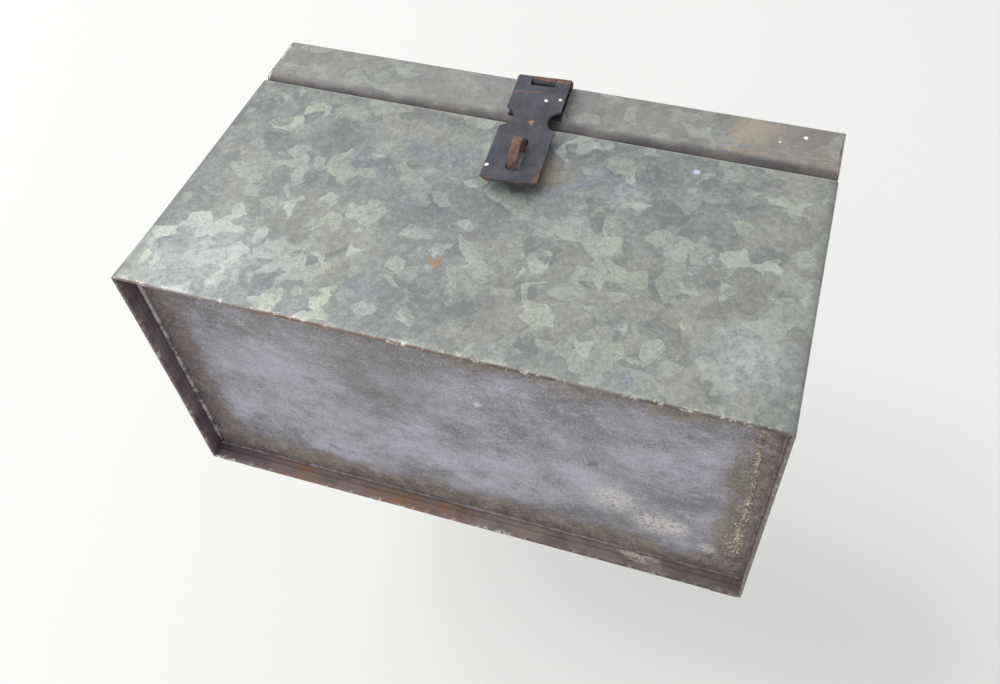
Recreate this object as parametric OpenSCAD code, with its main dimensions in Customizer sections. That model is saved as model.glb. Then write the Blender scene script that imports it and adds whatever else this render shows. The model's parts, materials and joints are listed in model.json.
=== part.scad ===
// Galvanised sheet-steel lunch box: a riveted and soldered body, a hinged lid,
// a hasp that closes over a staple, and a folding wire handle on the lid.
// X runs along the box, -Y is the front with the hasp, and +Z is up.
// The origin is on the floor, under the middle of the whole box.

/* [Body] */
// Length of the body, left to right
body_l = 304; // [250:1:380]
// Depth of the body, front to back
body_d = 154; // [125:1:200]
// Height of the body from the floor to its top edge
body_h = 149; // [140:1:200]
// Thickness of the galvanised sheet
sheet_t = 0.8; // [0.6:0.1:1]
// Outside radius of the upright corners
corner_r = 2; // [1.6:0.1:4]
// Width of the flange turned in around the top of the body
rim_w = 9; // [6:0.5:14]
// Height of the hem folded up inside the bottom edge
hem_h = 6; // [4:0.5:7]
// Height of the bottom panel above the floor
recess_h = 10.5; // [10:0.5:16]
// Height of the flange turned up around the bottom panel
pan_flange_h = 8; // [5:0.5:12]
// Width and height of the solder bead under the bottom panel
bead_s = 2; // [1:0.1:2.5]
// Width of the soldered lap in the back wall
lap_w = 14; // [8:1:18]

/* [Lid] */
// Height of the lid
lid_h = 34.3; // [33:0.1:50]
// Gap between the body and the closed lid
lid_gap = 1.2; // [0.8:0.1:2]
// How far each end of the lid stays inside the body's end
lid_inset = 0.5; // [0:0.1:1]
// Outside radius of the bend along the lid's lower edges
lid_bend_r = 5.5; // [4:0.1:6]
// Outside radius of the bend along the lid's upper edges
lid_top_r = 1.6; // [1.2:0.1:4]
// Width of the flange turned in around the lid's mouth
lid_rim_w = 10; // [8:0.5:14]

/* [Hinges] */
// Distance from the middle of the box to the middle of each hinge
hinge_x = 95; // [60:1:98]
// Width of a hinge along its pin
hinge_w = 38; // [30:1:44]
// Reach of a leaf from the pin's axis to the leaf's edge
hinge_leaf_h = 23; // [21:0.5:26]
// Thickness of a leaf
hinge_t = 1.2; // [1:0.1:1.4]
// Outside radius of the knuckles
hinge_knuckle_r = 2.7; // [2.5:0.1:3]
// Radius of the pin
hinge_pin_r = 1.3; // [1:0.1:1.5]

/* [Hasp] */
// Sideways place of the middle of the hasp's barrel
hasp_x = -2.8; // [-60:0.1:30]
// Drop from the lid's top to the barrel's axis
hasp_drop = 4.8; // [4:0.1:6]
// Angle by which the hasp was riveted on crooked
hasp_skew = 3.7; // [-5:0.1:5]
// Width of the strap and the fixed leaf
hasp_w = 27.8; // [25:0.1:33]
// Outside radius of the barrel
hasp_knuckle_r = 3; // [2.6:0.1:3.4]
// Radius of the hasp's pin
hasp_pin_r = 1.4; // [1:0.1:1.6]
// Width of the fixed leaf's middle knuckle
hasp_mid_w = 12.2; // [10:0.1:14]
// Thickness of the fixed leaf
hasp_leaf_t = 1.2; // [1:0.1:1.5]
// Length of the fixed leaf below the barrel's axis
hasp_leaf_l = 24.7; // [23:0.1:26]
// Thickness of the strap
strap_t = 1.3; // [1:0.1:1.5]
// Length of the strap below the barrel's axis
strap_l = 81.3; // [79:0.1:90]
// Drop from the axis to the lower edge of the window by the knuckle
window_drop = 6.4; // [5.6:0.1:8]
// Drop from the axis to the middle of the waist
waist_drop = 32.9; // [31:0.1:36]
// Radius of the two waist cut-outs
waist_r = 8.6; // [7.8:0.1:10]
// Depth of each waist cut-out
waist_depth = 5; // [3:0.1:6]
// Drop from the axis to the middle of the slot
slot_drop = 60; // [58:0.1:62]
// Bend of the strap's end lip, outwards
lip_angle = 20; // [5:1:35]
// Length of the strap's end lip
lip_l = 4; // [3:0.1:5]
// Width of the clipped corner at each side of the lip
clip_w = 6; // [3:0.1:8]

/* [Staple] */
// Width of the staple's flat bar
staple_w = 4.6; // [3.8:0.1:6]
// Thickness of the staple's flat bar
staple_t = 2; // [1.6:0.1:2.4]
// Outside radius of the staple's arch
staple_r = 10.8; // [10:0.1:12]
// How far the arch stands out from the front of the body
staple_reach = 13.8; // [13.4:0.1:18]
// Thickness of the backing plate inside the front wall
backing_t = 1.2; // [1:0.1:2]

/* [Handle] */
// Distance between the handle's two arms
handle_span = 100; // [80:1:120]
// Reach of the handle from its pivots to the middle of the grip
handle_reach = 38; // [30:1:48]
// Radius of the handle's wire
wire_r = 2.4; // [2:0.1:3]
// Radius of the grip's two bends, at the middle of the wire
grip_bend_r = 9; // [6:0.5:14]
// Width of a handle clip
clip_plate_w = 14; // [10:0.5:18]
// Length of a handle clip, front to back
clip_plate_l = 34; // [30:0.5:40]
// Thickness of a handle clip
clip_plate_t = 1.2; // [1:0.1:1.6]

/* [Rivets] */
// Radius of a rivet's shank
rivet_r = 1.5; // [1.2:0.1:1.8]
// Radius of a rivet's formed head
rivet_head_r = 2.8; // [2.4:0.1:3.2]
// Height of a rivet's formed head
rivet_head_h = 1.1; // [0.8:0.1:1.3]
// Height of a rivet's hammered tail
rivet_tail_h = 0.8; // [0.6:0.1:1]

/* [Clearances] */
// Running clearance around a pin or wire, on the radius
pin_clear = 0.06; // [0.03:0.01:0.1]
// Gap between neighbouring knuckles
knuckle_gap = 0.3; // [0.2:0.05:0.5]
// Gap between a turning barrel and the sheet behind it
barrel_gap = 0.4; // [0.3:0.05:0.6]
// Clearance around a rivet or a staple leg in its hole
hole_clear = 0.05; // [0.02:0.01:0.1]
// Gap that solder fills between two sheets
solder_gap = 0.1; // [0.05:0.05:0.2]
// Room around the staple in the strap's slot, on each side
slot_clear = 1; // [0.8:0.1:1.5]
// Height of the handle's wire above the lid
wire_gap = 0.3; // [0.2:0.1:0.6]

/* [Hidden] */
$fn = 48;
GALVANISED = [0.56, 0.6, 0.57];
STAINED = [0.44, 0.42, 0.42];
SOLDER = [0.62, 0.61, 0.58];
STEEL = [0.45, 0.44, 0.42];
SLATE = [0.2, 0.21, 0.25];
RUST = [0.36, 0.24, 0.2];
// Enough to cut right through any sheet or plate
through = 10;
// How far each cut or joint runs past a face
over = 0.01;
// The hinge axis, measured out from the back wall and up from the floor
hinge_out = hinge_knuckle_r + barrel_gap;
hinge_z = body_h + lid_gap / 2;
// The hasp's axis, measured out from the front of the lid
hasp_out = hasp_knuckle_r + barrel_gap;
lid_z = body_h + lid_gap;
top_z = lid_z + lid_h;
lid_l = body_l - 2 * lid_inset;
hasp_z = top_z - hasp_drop;
// The strap's outer face, measured from the hasp's axis
strap_y = -hasp_knuckle_r;
// How far the box reaches past the body's front and back walls
lip_reach = hasp_out + hasp_knuckle_r + lip_l * sin(lip_angle);
front_reach = max(staple_reach, lip_reach);
back_reach = hinge_out + hinge_knuckle_r;
// Width of a hinge's middle knuckle
hinge_mid_w = hinge_w / 3;
// Thickness of a pin's two heads, and the gap between a head and the knuckle by it
pin_head_t = 0.9;
pin_head_gap = 0.1;
// Width of the backing plate, and how far it runs past the staple at each end
backing_w = 12;
backing_past = 5;
// How far the hammered end of a staple leg spreads on each side
leg_tail = 0.6;
// Puts the origin under the middle of the whole box, front to back
body_y = (front_reach - back_reach) / 2;
slot_w = staple_w + 2 * slot_clear;
slot_l = 2 * staple_r + 2 * slot_clear;
// Small enough for the staple's square corners to clear the slot's round ones
slot_corner_r = 2 * slot_clear;
wire_z = top_z + wire_r + wire_gap;
// The handle's wire bends outwards to each pivot, and each clip sits just past that bend
stub_bend_r = wire_r + 2.6;
clip_x = handle_span / 2 + stub_bend_r + 0.8 + clip_plate_w / 2;
// Length of wire that shows past a clip
stub_past = 2;
handle_y = -handle_reach / 2;
// Places of the rivets, as [sideways, away from the axis]
hinge_rivets = [[-hinge_w / 2 + 6, 9.5], [hinge_w / 2 - 6, 9.5], [0, hinge_leaf_h - 5.5]];
hasp_rivets = [for (x = [-1, 1], drop = [9, 19]) [x * (hasp_w / 2 - 5), -drop]];
clip_rivets = [for (y = [-1, 1]) [0, y * (clip_plate_l / 2 - 4.5)]];

// A flat shape with round corners, centred
module rounded_rect(l, d, r) {
    square([l - 2 * r, d], center = true);
    square([l, d - 2 * r], center = true);
    for (x = [-1, 1], y = [-1, 1])
        translate([x * (l / 2 - r), y * (d / 2 - r)]) circle(r);
}

// The plan of a wall of the given thickness, set in from the body's outside
module wall_plan(inset, thickness) {
    difference() {
        rounded_rect(body_l - 2 * inset, body_d - 2 * inset, corner_r - inset);
        rounded_rect(body_l - 2 * (inset + thickness), body_d - 2 * (inset + thickness),
            max(corner_r - inset - thickness, 0.2));
    }
}

// The lid's section across its length, drawn smaller by inset all round
module lid_section(inset) {
    half = body_d / 2 - inset;
    low_r = lid_bend_r - inset;
    high_r = lid_top_r - inset;
    low = inset;
    high = lid_h - inset;
    translate([-(half - low_r), low]) square([2 * (half - low_r), high - low]);
    translate([-half, low + low_r]) square([2 * half, high - high_r - low - low_r]);
    translate([-(half - high_r), low + low_r])
        square([2 * (half - high_r), high - low - low_r]);
    for (y = [-1, 1]) {
        translate([y * (half - low_r), low + low_r]) circle(low_r);
        translate([y * (half - high_r), high - high_r]) circle(high_r);
    }
}

// Carries a section drawn across the box along X
module along_x(l) {
    rotate([90, 0, 90]) linear_extrude(l, center = true) children();
}

// A round bar along X, centred
module bar_x(r, l) {
    rotate([0, 90, 0]) cylinder(r = r, h = l, center = true);
}

// A pin along X through knuckles of the given total length, with a head at each end
module headed_pin(r, knuckles_l, knuckle_r) {
    bar_x(r, knuckles_l + 2 * pin_head_gap + 2 * over);
    for (x = [-1, 1]) translate([x * (knuckles_l / 2 + pin_head_gap + pin_head_t / 2), 0, 0])
        bar_x(knuckle_r * 0.8, pin_head_t);
}

// Moves from the body's own middle to the frame of the whole box
module in_box() {
    translate([0, body_y, 0]) children();
}

// Moves to the hinge axis; side is -1 for the left hinge and 1 for the right one
module at_hinge(side) {
    in_box() translate([side * hinge_x, body_d / 2 + hinge_out, hinge_z]) children();
}

// Moves to the hasp's axis, tilted as the hasp is; the lid's front is at Y = hasp_out
module at_hasp() {
    in_box() translate([hasp_x, -body_d / 2 - hasp_out, hasp_z])
        rotate([0, -hasp_skew, 0]) children();
}

// Moves to the middle of a handle clip on top of the lid
module at_clip(side) {
    in_box() translate([side * clip_x, handle_y, top_z]) children();
}

// A rivet along Z through a stack of the given grip, whose outer face is at Z = 0
module rivet(grip) {
    cylinder(r1 = rivet_head_r, r2 = rivet_head_r * 0.6, h = rivet_head_h);
    translate([0, 0, -grip - over]) cylinder(r = rivet_r, h = grip + 2 * over);
    translate([0, 0, -grip - rivet_tail_h]) cylinder(r = rivet_head_r * 0.85, h = rivet_tail_h);
}

// The hole that a rivet along Z needs, through everything
module rivet_hole() {
    cylinder(r = rivet_r + hole_clear, h = 2 * through, center = true);
}

// Rivets or holes of one hinge leaf; up is 1 for the lid's leaf and -1 for the body's
module on_hinge_leaf(side, up) {
    for (p = hinge_rivets)
        at_hinge(side) translate([p[0], -hinge_out + hinge_t, up * p[1]])
            rotate([-90, 0, 0]) children();
}

// Rivets or holes of the hasp's fixed leaf
module on_hasp_leaf() {
    for (p = hasp_rivets)
        at_hasp() translate([p[0], hasp_out - hasp_leaf_t, p[1]])
            rotate([90, 0, 0]) children();
}

// Rivets or holes of one handle clip
module on_clip(side) {
    for (p = clip_rivets)
        at_clip(side) translate([p[0], p[1], clip_plate_t]) children();
}

// The two legs of the staple, made larger by extra all round
module staple_legs(extra, from_y, to_y) {
    mid = staple_r - staple_t / 2;
    for (z = [-1, 1])
        translate([-staple_w / 2 - extra, from_y, z * mid - staple_t / 2 - extra])
            cube([staple_w + 2 * extra, to_y - from_y, staple_t + 2 * extra]);
}

// Moves to the middle of the staple, at the outside of the front wall
module at_staple() {
    at_hasp() translate([0, hasp_out, -slot_drop]) children();
}

module body_shell() color(GALVANISED) difference() {
    in_box() {
        linear_extrude(body_h) wall_plan(0, sheet_t);
        linear_extrude(hem_h) wall_plan(0, 2 * sheet_t);
        translate([0, 0, body_h - sheet_t]) linear_extrude(sheet_t) difference() {
            rounded_rect(body_l, body_d, corner_r);
            square([body_l - 2 * rim_w, body_d - 2 * rim_w], center = true);
        }
        translate([body_l / 2 - corner_r - lap_w, body_d / 2 - over, 0])
            cube([lap_w, sheet_t + over, body_h - sheet_t]);
    }
    for (side = [-1, 1]) on_hinge_leaf(side, -1) rivet_hole();
    at_staple() staple_legs(hole_clear, -through, through);
}

module bottom_pan() color(STAINED) in_box() translate([0, 0, recess_h]) {
    inset = sheet_t + solder_gap;
    linear_extrude(sheet_t)
        rounded_rect(body_l - 2 * inset, body_d - 2 * inset, corner_r - inset);
    linear_extrude(pan_flange_h) wall_plan(inset, sheet_t);
}

module bottom_solder() color(SOLDER) in_box() translate([0, 0, recess_h - bead_s])
    linear_extrude(bead_s) wall_plan(sheet_t + hole_clear, bead_s);

module hinge_body_leaf(side) color(STEEL) difference() {
    knuckle_l = (hinge_w - hinge_mid_w) / 2 - knuckle_gap;
    at_hinge(side) difference() {
        union() {
            translate([-hinge_w / 2, -hinge_out, -hinge_leaf_h])
                cube([hinge_w, hinge_t, hinge_leaf_h - hinge_knuckle_r - knuckle_gap]);
            for (x = [-1, 1]) translate([x * (hinge_w - knuckle_l) / 2, 0, 0]) {
                bar_x(hinge_knuckle_r, knuckle_l);
                translate([-knuckle_l / 2, -hinge_out, -hinge_knuckle_r - knuckle_gap - over])
                    cube([knuckle_l, hinge_t, hinge_knuckle_r + knuckle_gap + over]);
            }
        }
        bar_x(hinge_pin_r + pin_clear, hinge_w + through);
    }
    on_hinge_leaf(side, -1) rivet_hole();
}

module hinge_lid_leaf(side) color(STEEL) difference() {
    at_hinge(side) difference() {
        union() {
            translate([-hinge_w / 2, -hinge_out, hinge_knuckle_r + knuckle_gap])
                cube([hinge_w, hinge_t, hinge_leaf_h - hinge_knuckle_r - knuckle_gap]);
            bar_x(hinge_knuckle_r, hinge_mid_w);
            translate([-hinge_mid_w / 2, -hinge_out, 0])
                cube([hinge_mid_w, hinge_t, hinge_knuckle_r + knuckle_gap + over]);
        }
        bar_x(hinge_pin_r + pin_clear, hinge_w + through);
    }
    on_hinge_leaf(side, 1) rivet_hole();
}

module hinge_rivets_on(side, up) color(STEEL)
    on_hinge_leaf(side, up) rivet(hinge_t + sheet_t);

module hinge_pin(side) color(STEEL) at_hinge(side)
    headed_pin(hinge_pin_r, hinge_w, hinge_knuckle_r);

module staple() color(RUST) at_staple() {
    leg_y = staple_r - staple_reach;
    translate([0, leg_y, 0]) rotate([0, 90, 0])
        linear_extrude(staple_w, center = true) difference() {
            circle(staple_r);
            circle(staple_r - staple_t);
            translate([-2 * staple_r, 0]) square([4 * staple_r, 2 * staple_r]);
        }
    staple_legs(0, leg_y - over, sheet_t + backing_t + over);
    staple_legs(leg_tail, sheet_t + backing_t, sheet_t + backing_t + rivet_tail_h);
}

module staple_backing_plate() color(STEEL) at_staple() difference() {
    backing_h = 2 * (staple_r + backing_past);
    translate([-backing_w / 2, sheet_t, -backing_h / 2]) cube([backing_w, backing_t, backing_h]);
    staple_legs(hole_clear, -through, through);
}

module lid_sheet() color(GALVANISED) difference() {
    in_box() translate([0, 0, lid_z]) difference() {
        along_x(lid_l - 2 * sheet_t) lid_section(0);
        along_x(lid_l) lid_section(sheet_t);
        translate([-body_l, -body_d / 2 + lid_rim_w, -over])
            cube([2 * body_l, body_d - 2 * lid_rim_w, 2 * sheet_t]);
    }
    for (side = [-1, 1]) {
        on_hinge_leaf(side, 1) rivet_hole();
        on_clip(side) rivet_hole();
    }
    on_hasp_leaf() rivet_hole();
}

module lid_end(side) color(GALVANISED) in_box() translate([0, 0, lid_z]) {
    flange_l = lid_rim_w - sheet_t;
    flange_d = body_d - 2 * lid_rim_w - 2 * solder_gap;
    translate([side * (lid_l - sheet_t) / 2, 0, 0]) along_x(sheet_t) lid_section(0);
    translate([side * (lid_l / 2 - sheet_t - flange_l / 2), 0, sheet_t / 2])
        cube([flange_l + 2 * over, flange_d, sheet_t], center = true);
}

module hasp_leaf() color(SLATE) difference() {
    neck_l = hasp_knuckle_r + knuckle_gap + over;
    at_hasp() difference() {
        union() {
            translate([-hasp_w / 2, hasp_out - hasp_leaf_t, -hasp_leaf_l])
                cube([hasp_w, hasp_leaf_t, hasp_leaf_l - hasp_knuckle_r - knuckle_gap]);
            bar_x(hasp_knuckle_r, hasp_mid_w);
            translate([-hasp_mid_w / 2, hasp_out - hasp_leaf_t, -neck_l])
                cube([hasp_mid_w, hasp_leaf_t, neck_l]);
        }
        bar_x(hasp_pin_r + pin_clear, hasp_w + through);
    }
    on_hasp_leaf() rivet_hole();
}

module hasp_leaf_rivets() color(SLATE) on_hasp_leaf() rivet(hasp_leaf_t + sheet_t);

module hasp_pin() color(RUST) at_hasp() headed_pin(hasp_pin_r, hasp_w, hasp_knuckle_r);

// The strap's flat outline from the axis down to the start of its lip
module strap_plan() {
    flat_l = strap_l - lip_l;
    waist_out = hasp_w / 2 - waist_depth + waist_r;
    difference() {
        translate([-hasp_w / 2, -flat_l]) square([hasp_w, flat_l]);
        for (x = [-1, 1]) translate([x * waist_out, -waist_drop]) circle(waist_r);
        translate([0, -slot_drop]) rounded_rect(slot_w, slot_l, slot_corner_r);
        translate([-hasp_mid_w / 2 - knuckle_gap, -window_drop])
            square([hasp_mid_w + 2 * knuckle_gap, window_drop + over]);
    }
}

module hasp_strap() color(SLATE) at_hasp() {
    knuckle_l = (hasp_w - hasp_mid_w) / 2 - knuckle_gap;
    flat_l = strap_l - lip_l;
    translate([0, strap_y + strap_t, 0]) rotate([90, 0, 0])
        linear_extrude(strap_t) difference() {
            strap_plan();
            translate([-hasp_w, -over]) square([2 * hasp_w, 2 * over]);
        }
    for (x = [-1, 1]) translate([x * (hasp_w - knuckle_l) / 2, 0, 0]) difference() {
        union() {
            bar_x(hasp_knuckle_r, knuckle_l);
            translate([-knuckle_l / 2, strap_y, -2 * over]) cube([knuckle_l, strap_t, 2 * over]);
        }
        bar_x(hasp_pin_r + pin_clear, 2 * knuckle_l);
    }
    translate([0, strap_y + strap_t, -flat_l]) rotate([-lip_angle, 0, 0])
        translate([0, 0, 0.4]) rotate([90, 0, 0]) linear_extrude(strap_t)
            polygon([[-hasp_w / 2, 0], [hasp_w / 2, 0], [hasp_w / 2, -1],
                [hasp_w / 2 - clip_w, -lip_l], [-hasp_w / 2 + clip_w, -lip_l], [-hasp_w / 2, -1]]);
}

module handle_clip(side) color(STEEL) difference() {
    hump_r = wire_r + wire_gap + clip_plate_t;
    at_clip(side) along_x(clip_plate_w) difference() {
        union() {
            translate([-clip_plate_l / 2, 0]) square([clip_plate_l, clip_plate_t]);
            translate([0, wire_z - top_z]) circle(hump_r);
            translate([-hump_r, 0]) square([2 * hump_r, wire_z - top_z]);
        }
        translate([0, wire_z - top_z]) circle(wire_r + wire_gap);
        translate([-wire_r - wire_gap, -hump_r])
            square([2 * (wire_r + wire_gap), hump_r + wire_z - top_z]);
        translate([-clip_plate_l, -2 * hump_r]) square([2 * clip_plate_l, 2 * hump_r]);
    }
    on_clip(side) rivet_hole();
}

module handle_rivets_on(side) color(STEEL) on_clip(side) rivet(clip_plate_t + sheet_t);

module handle_bail() color(STEEL) in_box() translate([0, handle_y, wire_z]) {
    stub_l = clip_plate_w + 2 * stub_past;
    grip_l = handle_span - 2 * grip_bend_r;
    arm_l = handle_reach - grip_bend_r - stub_bend_r;
    translate([0, handle_reach, 0]) bar_x(wire_r, grip_l + 2 * over);
    for (x = [-1, 1]) {
        translate([x * (handle_span / 2 + stub_bend_r + stub_l / 2), 0, 0])
            bar_x(wire_r, stub_l + 2 * over);
        translate([x * handle_span / 2, stub_bend_r - over, 0])
            rotate([-90, 0, 0]) cylinder(r = wire_r, h = arm_l + 2 * over);
        translate([x * (handle_span / 2 + stub_bend_r), stub_bend_r, 0])
            rotate([0, 0, x > 0 ? 180 : 270])
                rotate_extrude(angle = 90) translate([stub_bend_r, 0]) circle(wire_r);
        translate([x * (handle_span / 2 - grip_bend_r), handle_reach - grip_bend_r, 0])
            rotate([0, 0, x > 0 ? 0 : 90])
                rotate_extrude(angle = 90) translate([grip_bend_r, 0]) circle(wire_r);
    }
}

body_shell();
bottom_pan();
bottom_solder();
hinge_body_leaf(-1);  // left_hinge_body_leaf
hinge_body_leaf(1);  // right_hinge_body_leaf
hinge_rivets_on(-1, -1);  // left_hinge_body_rivets
hinge_rivets_on(1, -1);  // right_hinge_body_rivets
hinge_pin(-1);  // left_hinge_pin
hinge_pin(1);  // right_hinge_pin
staple();
staple_backing_plate();
lid_sheet();
lid_end(-1);  // lid_left_end
lid_end(1);  // lid_right_end
hinge_lid_leaf(-1);  // left_hinge_lid_leaf
hinge_lid_leaf(1);  // right_hinge_lid_leaf
hinge_rivets_on(-1, 1);  // left_hinge_lid_rivets
hinge_rivets_on(1, 1);  // right_hinge_lid_rivets
hasp_leaf();
hasp_leaf_rivets();
hasp_pin();
hasp_strap();
handle_clip(-1);  // left_handle_clip
handle_clip(1);  // right_handle_clip
handle_rivets_on(-1);  // left_handle_rivets
handle_rivets_on(1);  // right_handle_rivets
handle_bail();
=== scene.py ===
"""The looks of a galvanised sheet-steel lunch box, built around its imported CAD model."""
import json
import math

import bmesh
import bpy
import numpy as np
from mathutils import Matrix, Vector


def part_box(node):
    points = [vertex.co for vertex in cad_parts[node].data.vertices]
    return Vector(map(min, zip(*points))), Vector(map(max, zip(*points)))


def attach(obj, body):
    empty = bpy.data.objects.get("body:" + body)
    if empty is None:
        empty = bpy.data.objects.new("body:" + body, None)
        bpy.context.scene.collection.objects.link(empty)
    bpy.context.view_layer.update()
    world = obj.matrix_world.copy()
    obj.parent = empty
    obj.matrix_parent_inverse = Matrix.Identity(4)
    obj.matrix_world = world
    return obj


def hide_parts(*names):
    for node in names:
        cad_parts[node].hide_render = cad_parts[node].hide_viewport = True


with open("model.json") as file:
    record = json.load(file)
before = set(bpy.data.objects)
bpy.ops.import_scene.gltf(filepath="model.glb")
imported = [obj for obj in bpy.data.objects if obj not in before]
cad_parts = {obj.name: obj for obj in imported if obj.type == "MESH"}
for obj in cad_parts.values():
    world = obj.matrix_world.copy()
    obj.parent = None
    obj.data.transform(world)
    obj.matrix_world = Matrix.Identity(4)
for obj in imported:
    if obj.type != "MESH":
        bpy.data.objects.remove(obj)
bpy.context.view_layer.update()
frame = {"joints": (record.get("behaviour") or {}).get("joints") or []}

# ---------------------------------------------------------------------------------------
# The view: the box lies on its back, seen from low in front of its bottom, so the camera
# is below the floor of the upright box and turned nearly on its side.
# ---------------------------------------------------------------------------------------
EYE = Vector((0.1232, -0.3875, -0.2162))
LOOK = Vector((-0.2046, 0.7894, 0.5788)).normalized()
ROUGHLY_UP = Vector((-0.2150, -0.6131, 0.7601))

across = LOOK.cross(ROUGHLY_UP).normalized()
upward = across.cross(LOOK)
lens = bpy.data.cameras.new("camera")
lens.sensor_width = 36.0
lens.lens = 34.47
lens.shift_x = -0.0334
lens.shift_y = 0.0039
lens.clip_start = 0.01
lens.clip_end = 20.0
camera = bpy.data.objects.new("camera", lens)
turn = Matrix((across, upward, -LOOK)).transposed().to_4x4()
camera.matrix_world = Matrix.Translation(EYE) @ turn
bpy.context.scene.collection.objects.link(camera)
bpy.context.scene.camera = camera

# ---------------------------------------------------------------------------------------
# A pale table upright behind the box, the floor for views of the upright box, and the
# lights. Both surfaces glow a little, show only their front and cast no shadow.
# ---------------------------------------------------------------------------------------


def shade(red, green, blue):
    """A colour as it looks on a screen, 0 to 255, turned into the linear light that shaders use."""
    value = np.array([red, green, blue]) / 255.0
    linear = np.where(value <= 0.04045, value / 12.92, ((value + 0.055) / 1.055) ** 2.4)
    return (*[float(v) for v in linear], 1.0)


class Number:
    """A number that a finish works out at each point, for use in ordinary arithmetic."""

    def __init__(self, socket):
        self.socket = socket

    def __add__(self, other):
        return join("ADD", self, other)

    def __radd__(self, other):
        return join("ADD", other, self)

    def __sub__(self, other):
        return join("SUBTRACT", self, other)

    def __rsub__(self, other):
        return join("SUBTRACT", other, self)

    def __mul__(self, other):
        return join("MULTIPLY", self, other)



trees = []


def new_finish(name):
    """A material with nothing in it but the output. The nodes made next go into it."""
    finish = bpy.data.materials.new(name)
    finish.use_nodes = True
    finish.node_tree.nodes.clear()
    finish.node_tree.nodes.new("ShaderNodeOutputMaterial")
    trees.append(finish.node_tree)
    return finish


def node(kind, inputs=None, **settings):
    """Adds a node to the newest finish. Inputs are values or the outputs of other nodes."""
    made = trees[-1].nodes.new("ShaderNode" + kind)
    for key, value in settings.items():
        setattr(made, key, value)
    for key, value in (inputs or {}).items():
        value = value.socket if isinstance(value, Number) else value
        if isinstance(value, bpy.types.NodeSocket):
            trees[-1].links.new(value, made.inputs[key])
        else:
            made.inputs[key].default_value = value
    return made


def show(surface):
    """Ends the newest finish with this surface."""
    trees[-1].links.new(surface.outputs[0], trees[-1].nodes[0].inputs["Surface"])


def one_sided(name, colour, roughness, glow):
    """Paper that glows a little, and is clear from behind so that it never hides the object."""
    finish = new_finish(name)
    front = node("BsdfPrincipled",
                 {"Base Color": colour, "Roughness": roughness, "Emission Color": shade(250, 250, 248),
                  "Emission Strength": glow})
    clear = node("BsdfTransparent")
    side = node("NewGeometry").outputs["Backfacing"]
    both = node("MixShader", {0: side, 1: front.outputs[0], 2: clear.outputs[0]})
    show(both)
    return finish


def flat_plane(name, middle, right, up, finish):
    """A flat surface: its middle plus and minus two directions, facing right x up."""
    corners = [middle - right - up, middle + right - up, middle + right + up, middle - right + up]
    mesh = bpy.data.meshes.new(name)
    mesh.from_pydata([tuple(c) for c in corners], [], [(0, 1, 2, 3)])
    mesh.materials.append(finish)
    plane = bpy.data.objects.new(name, mesh)
    bpy.context.scene.collection.objects.link(plane)
    plane.visible_shadow = False
    return plane


# The table is behind everything that the open lid reaches, so the lid never swings through it.
TABLE_GAP = 0.012
FAR = 4.0
hinge_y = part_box("left_hinge_pin")[1].y
table_y = hinge_y + (hinge_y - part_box("hasp_strap")[0].y) + TABLE_GAP
paper = one_sided("table_paper", shade(180, 179, 177), 0.9, 0.27)
flat_plane("table", Vector((0.0, table_y, 0.0)), Vector((FAR, 0.0, 0.0)), Vector((0.0, 0.0, FAR)), paper)
ground = flat_plane("floor", Vector((0.0, 0.0, -0.0005)), Vector((FAR, 0.0, 0.0)),
                    Vector((0.0, FAR, 0.0)), paper)
ground.visible_diffuse = False
ground.visible_glossy = False


def soft_light(name, place, aim, size, watts, colour=(1.0, 1.0, 1.0)):
    """A square lamp at a place, turned to face its aim."""
    lamp = bpy.data.lights.new(name, "AREA")
    lamp.size = size
    lamp.energy = watts
    lamp.color = colour
    holder = bpy.data.objects.new(name, lamp)
    holder.location = place
    holder.rotation_mode = "QUATERNION"
    holder.rotation_quaternion = (Vector(aim) - Vector(place)).to_track_quat("-Z", "Y")
    bpy.context.scene.collection.objects.link(holder)
    return holder


soft_light("window_light", (-2.2, -2.5, 0.25), (0.0, 0.05, 0.05), 2.8, 104.0, (1.0, 0.992, 0.982))
soft_light("room_light", (-0.5, -1.5, -1.7), (0.0, 0.0, 0.05), 2.6, 18.0)
soft_light("back_light", (0.7, 1.5, 0.9), (0.0, 0.08, 0.1), 1.2, 26.0)
room = bpy.data.worlds.new("room")
bpy.context.scene.world = room
room.use_nodes = True
room.node_tree.nodes["Background"].inputs["Color"].default_value = shade(242, 244, 246)
room.node_tree.nodes["Background"].inputs["Strength"].default_value = 0.86
bpy.context.scene.view_settings.view_transform = "Standard"
bpy.context.scene.view_settings.look = "None"

# ---------------------------------------------------------------------------------------
# The body: one band of galvanised steel sheet, folded at four upright corners, with a
# flange turned in around the top and a hem folded up inside the bottom edge.
# ---------------------------------------------------------------------------------------
MM = 0.001
SHEET = 0.8 * MM
CORNER = 1.5 * MM
TOP_BEND = 1.2 * MM
RIM = 9.0 * MM
HEM = 6.0 * MM
body_low, body_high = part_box("body_shell")
BODY_LONG = body_high.x - body_low.x
BODY_TOP = body_high.z
FRONT = body_low.y
BODY_DEEP = 154.0 * MM
HALF_DEEP = BODY_DEEP / 2.0
BACK = FRONT + BODY_DEEP
MIDDLE_Y = (FRONT + BACK) / 2.0


def ripples(a, b, length, seed, count=9):
    """Gentle unevenness from about -1 to 1: the mean of sine waves over a and b, each in its own
    direction and near the given length."""
    draw = np.random.default_rng(seed)
    total = 0.0
    for _ in range(count):
        heading, phase = draw.uniform(0.0, 2.0 * np.pi, 2)
        wave = 2.0 * np.pi / (length * draw.uniform(0.6, 1.6))
        total = total + np.sin(wave * (a * np.cos(heading) + b * np.sin(heading)) + phase)
    return total * 1.6 / count


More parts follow.
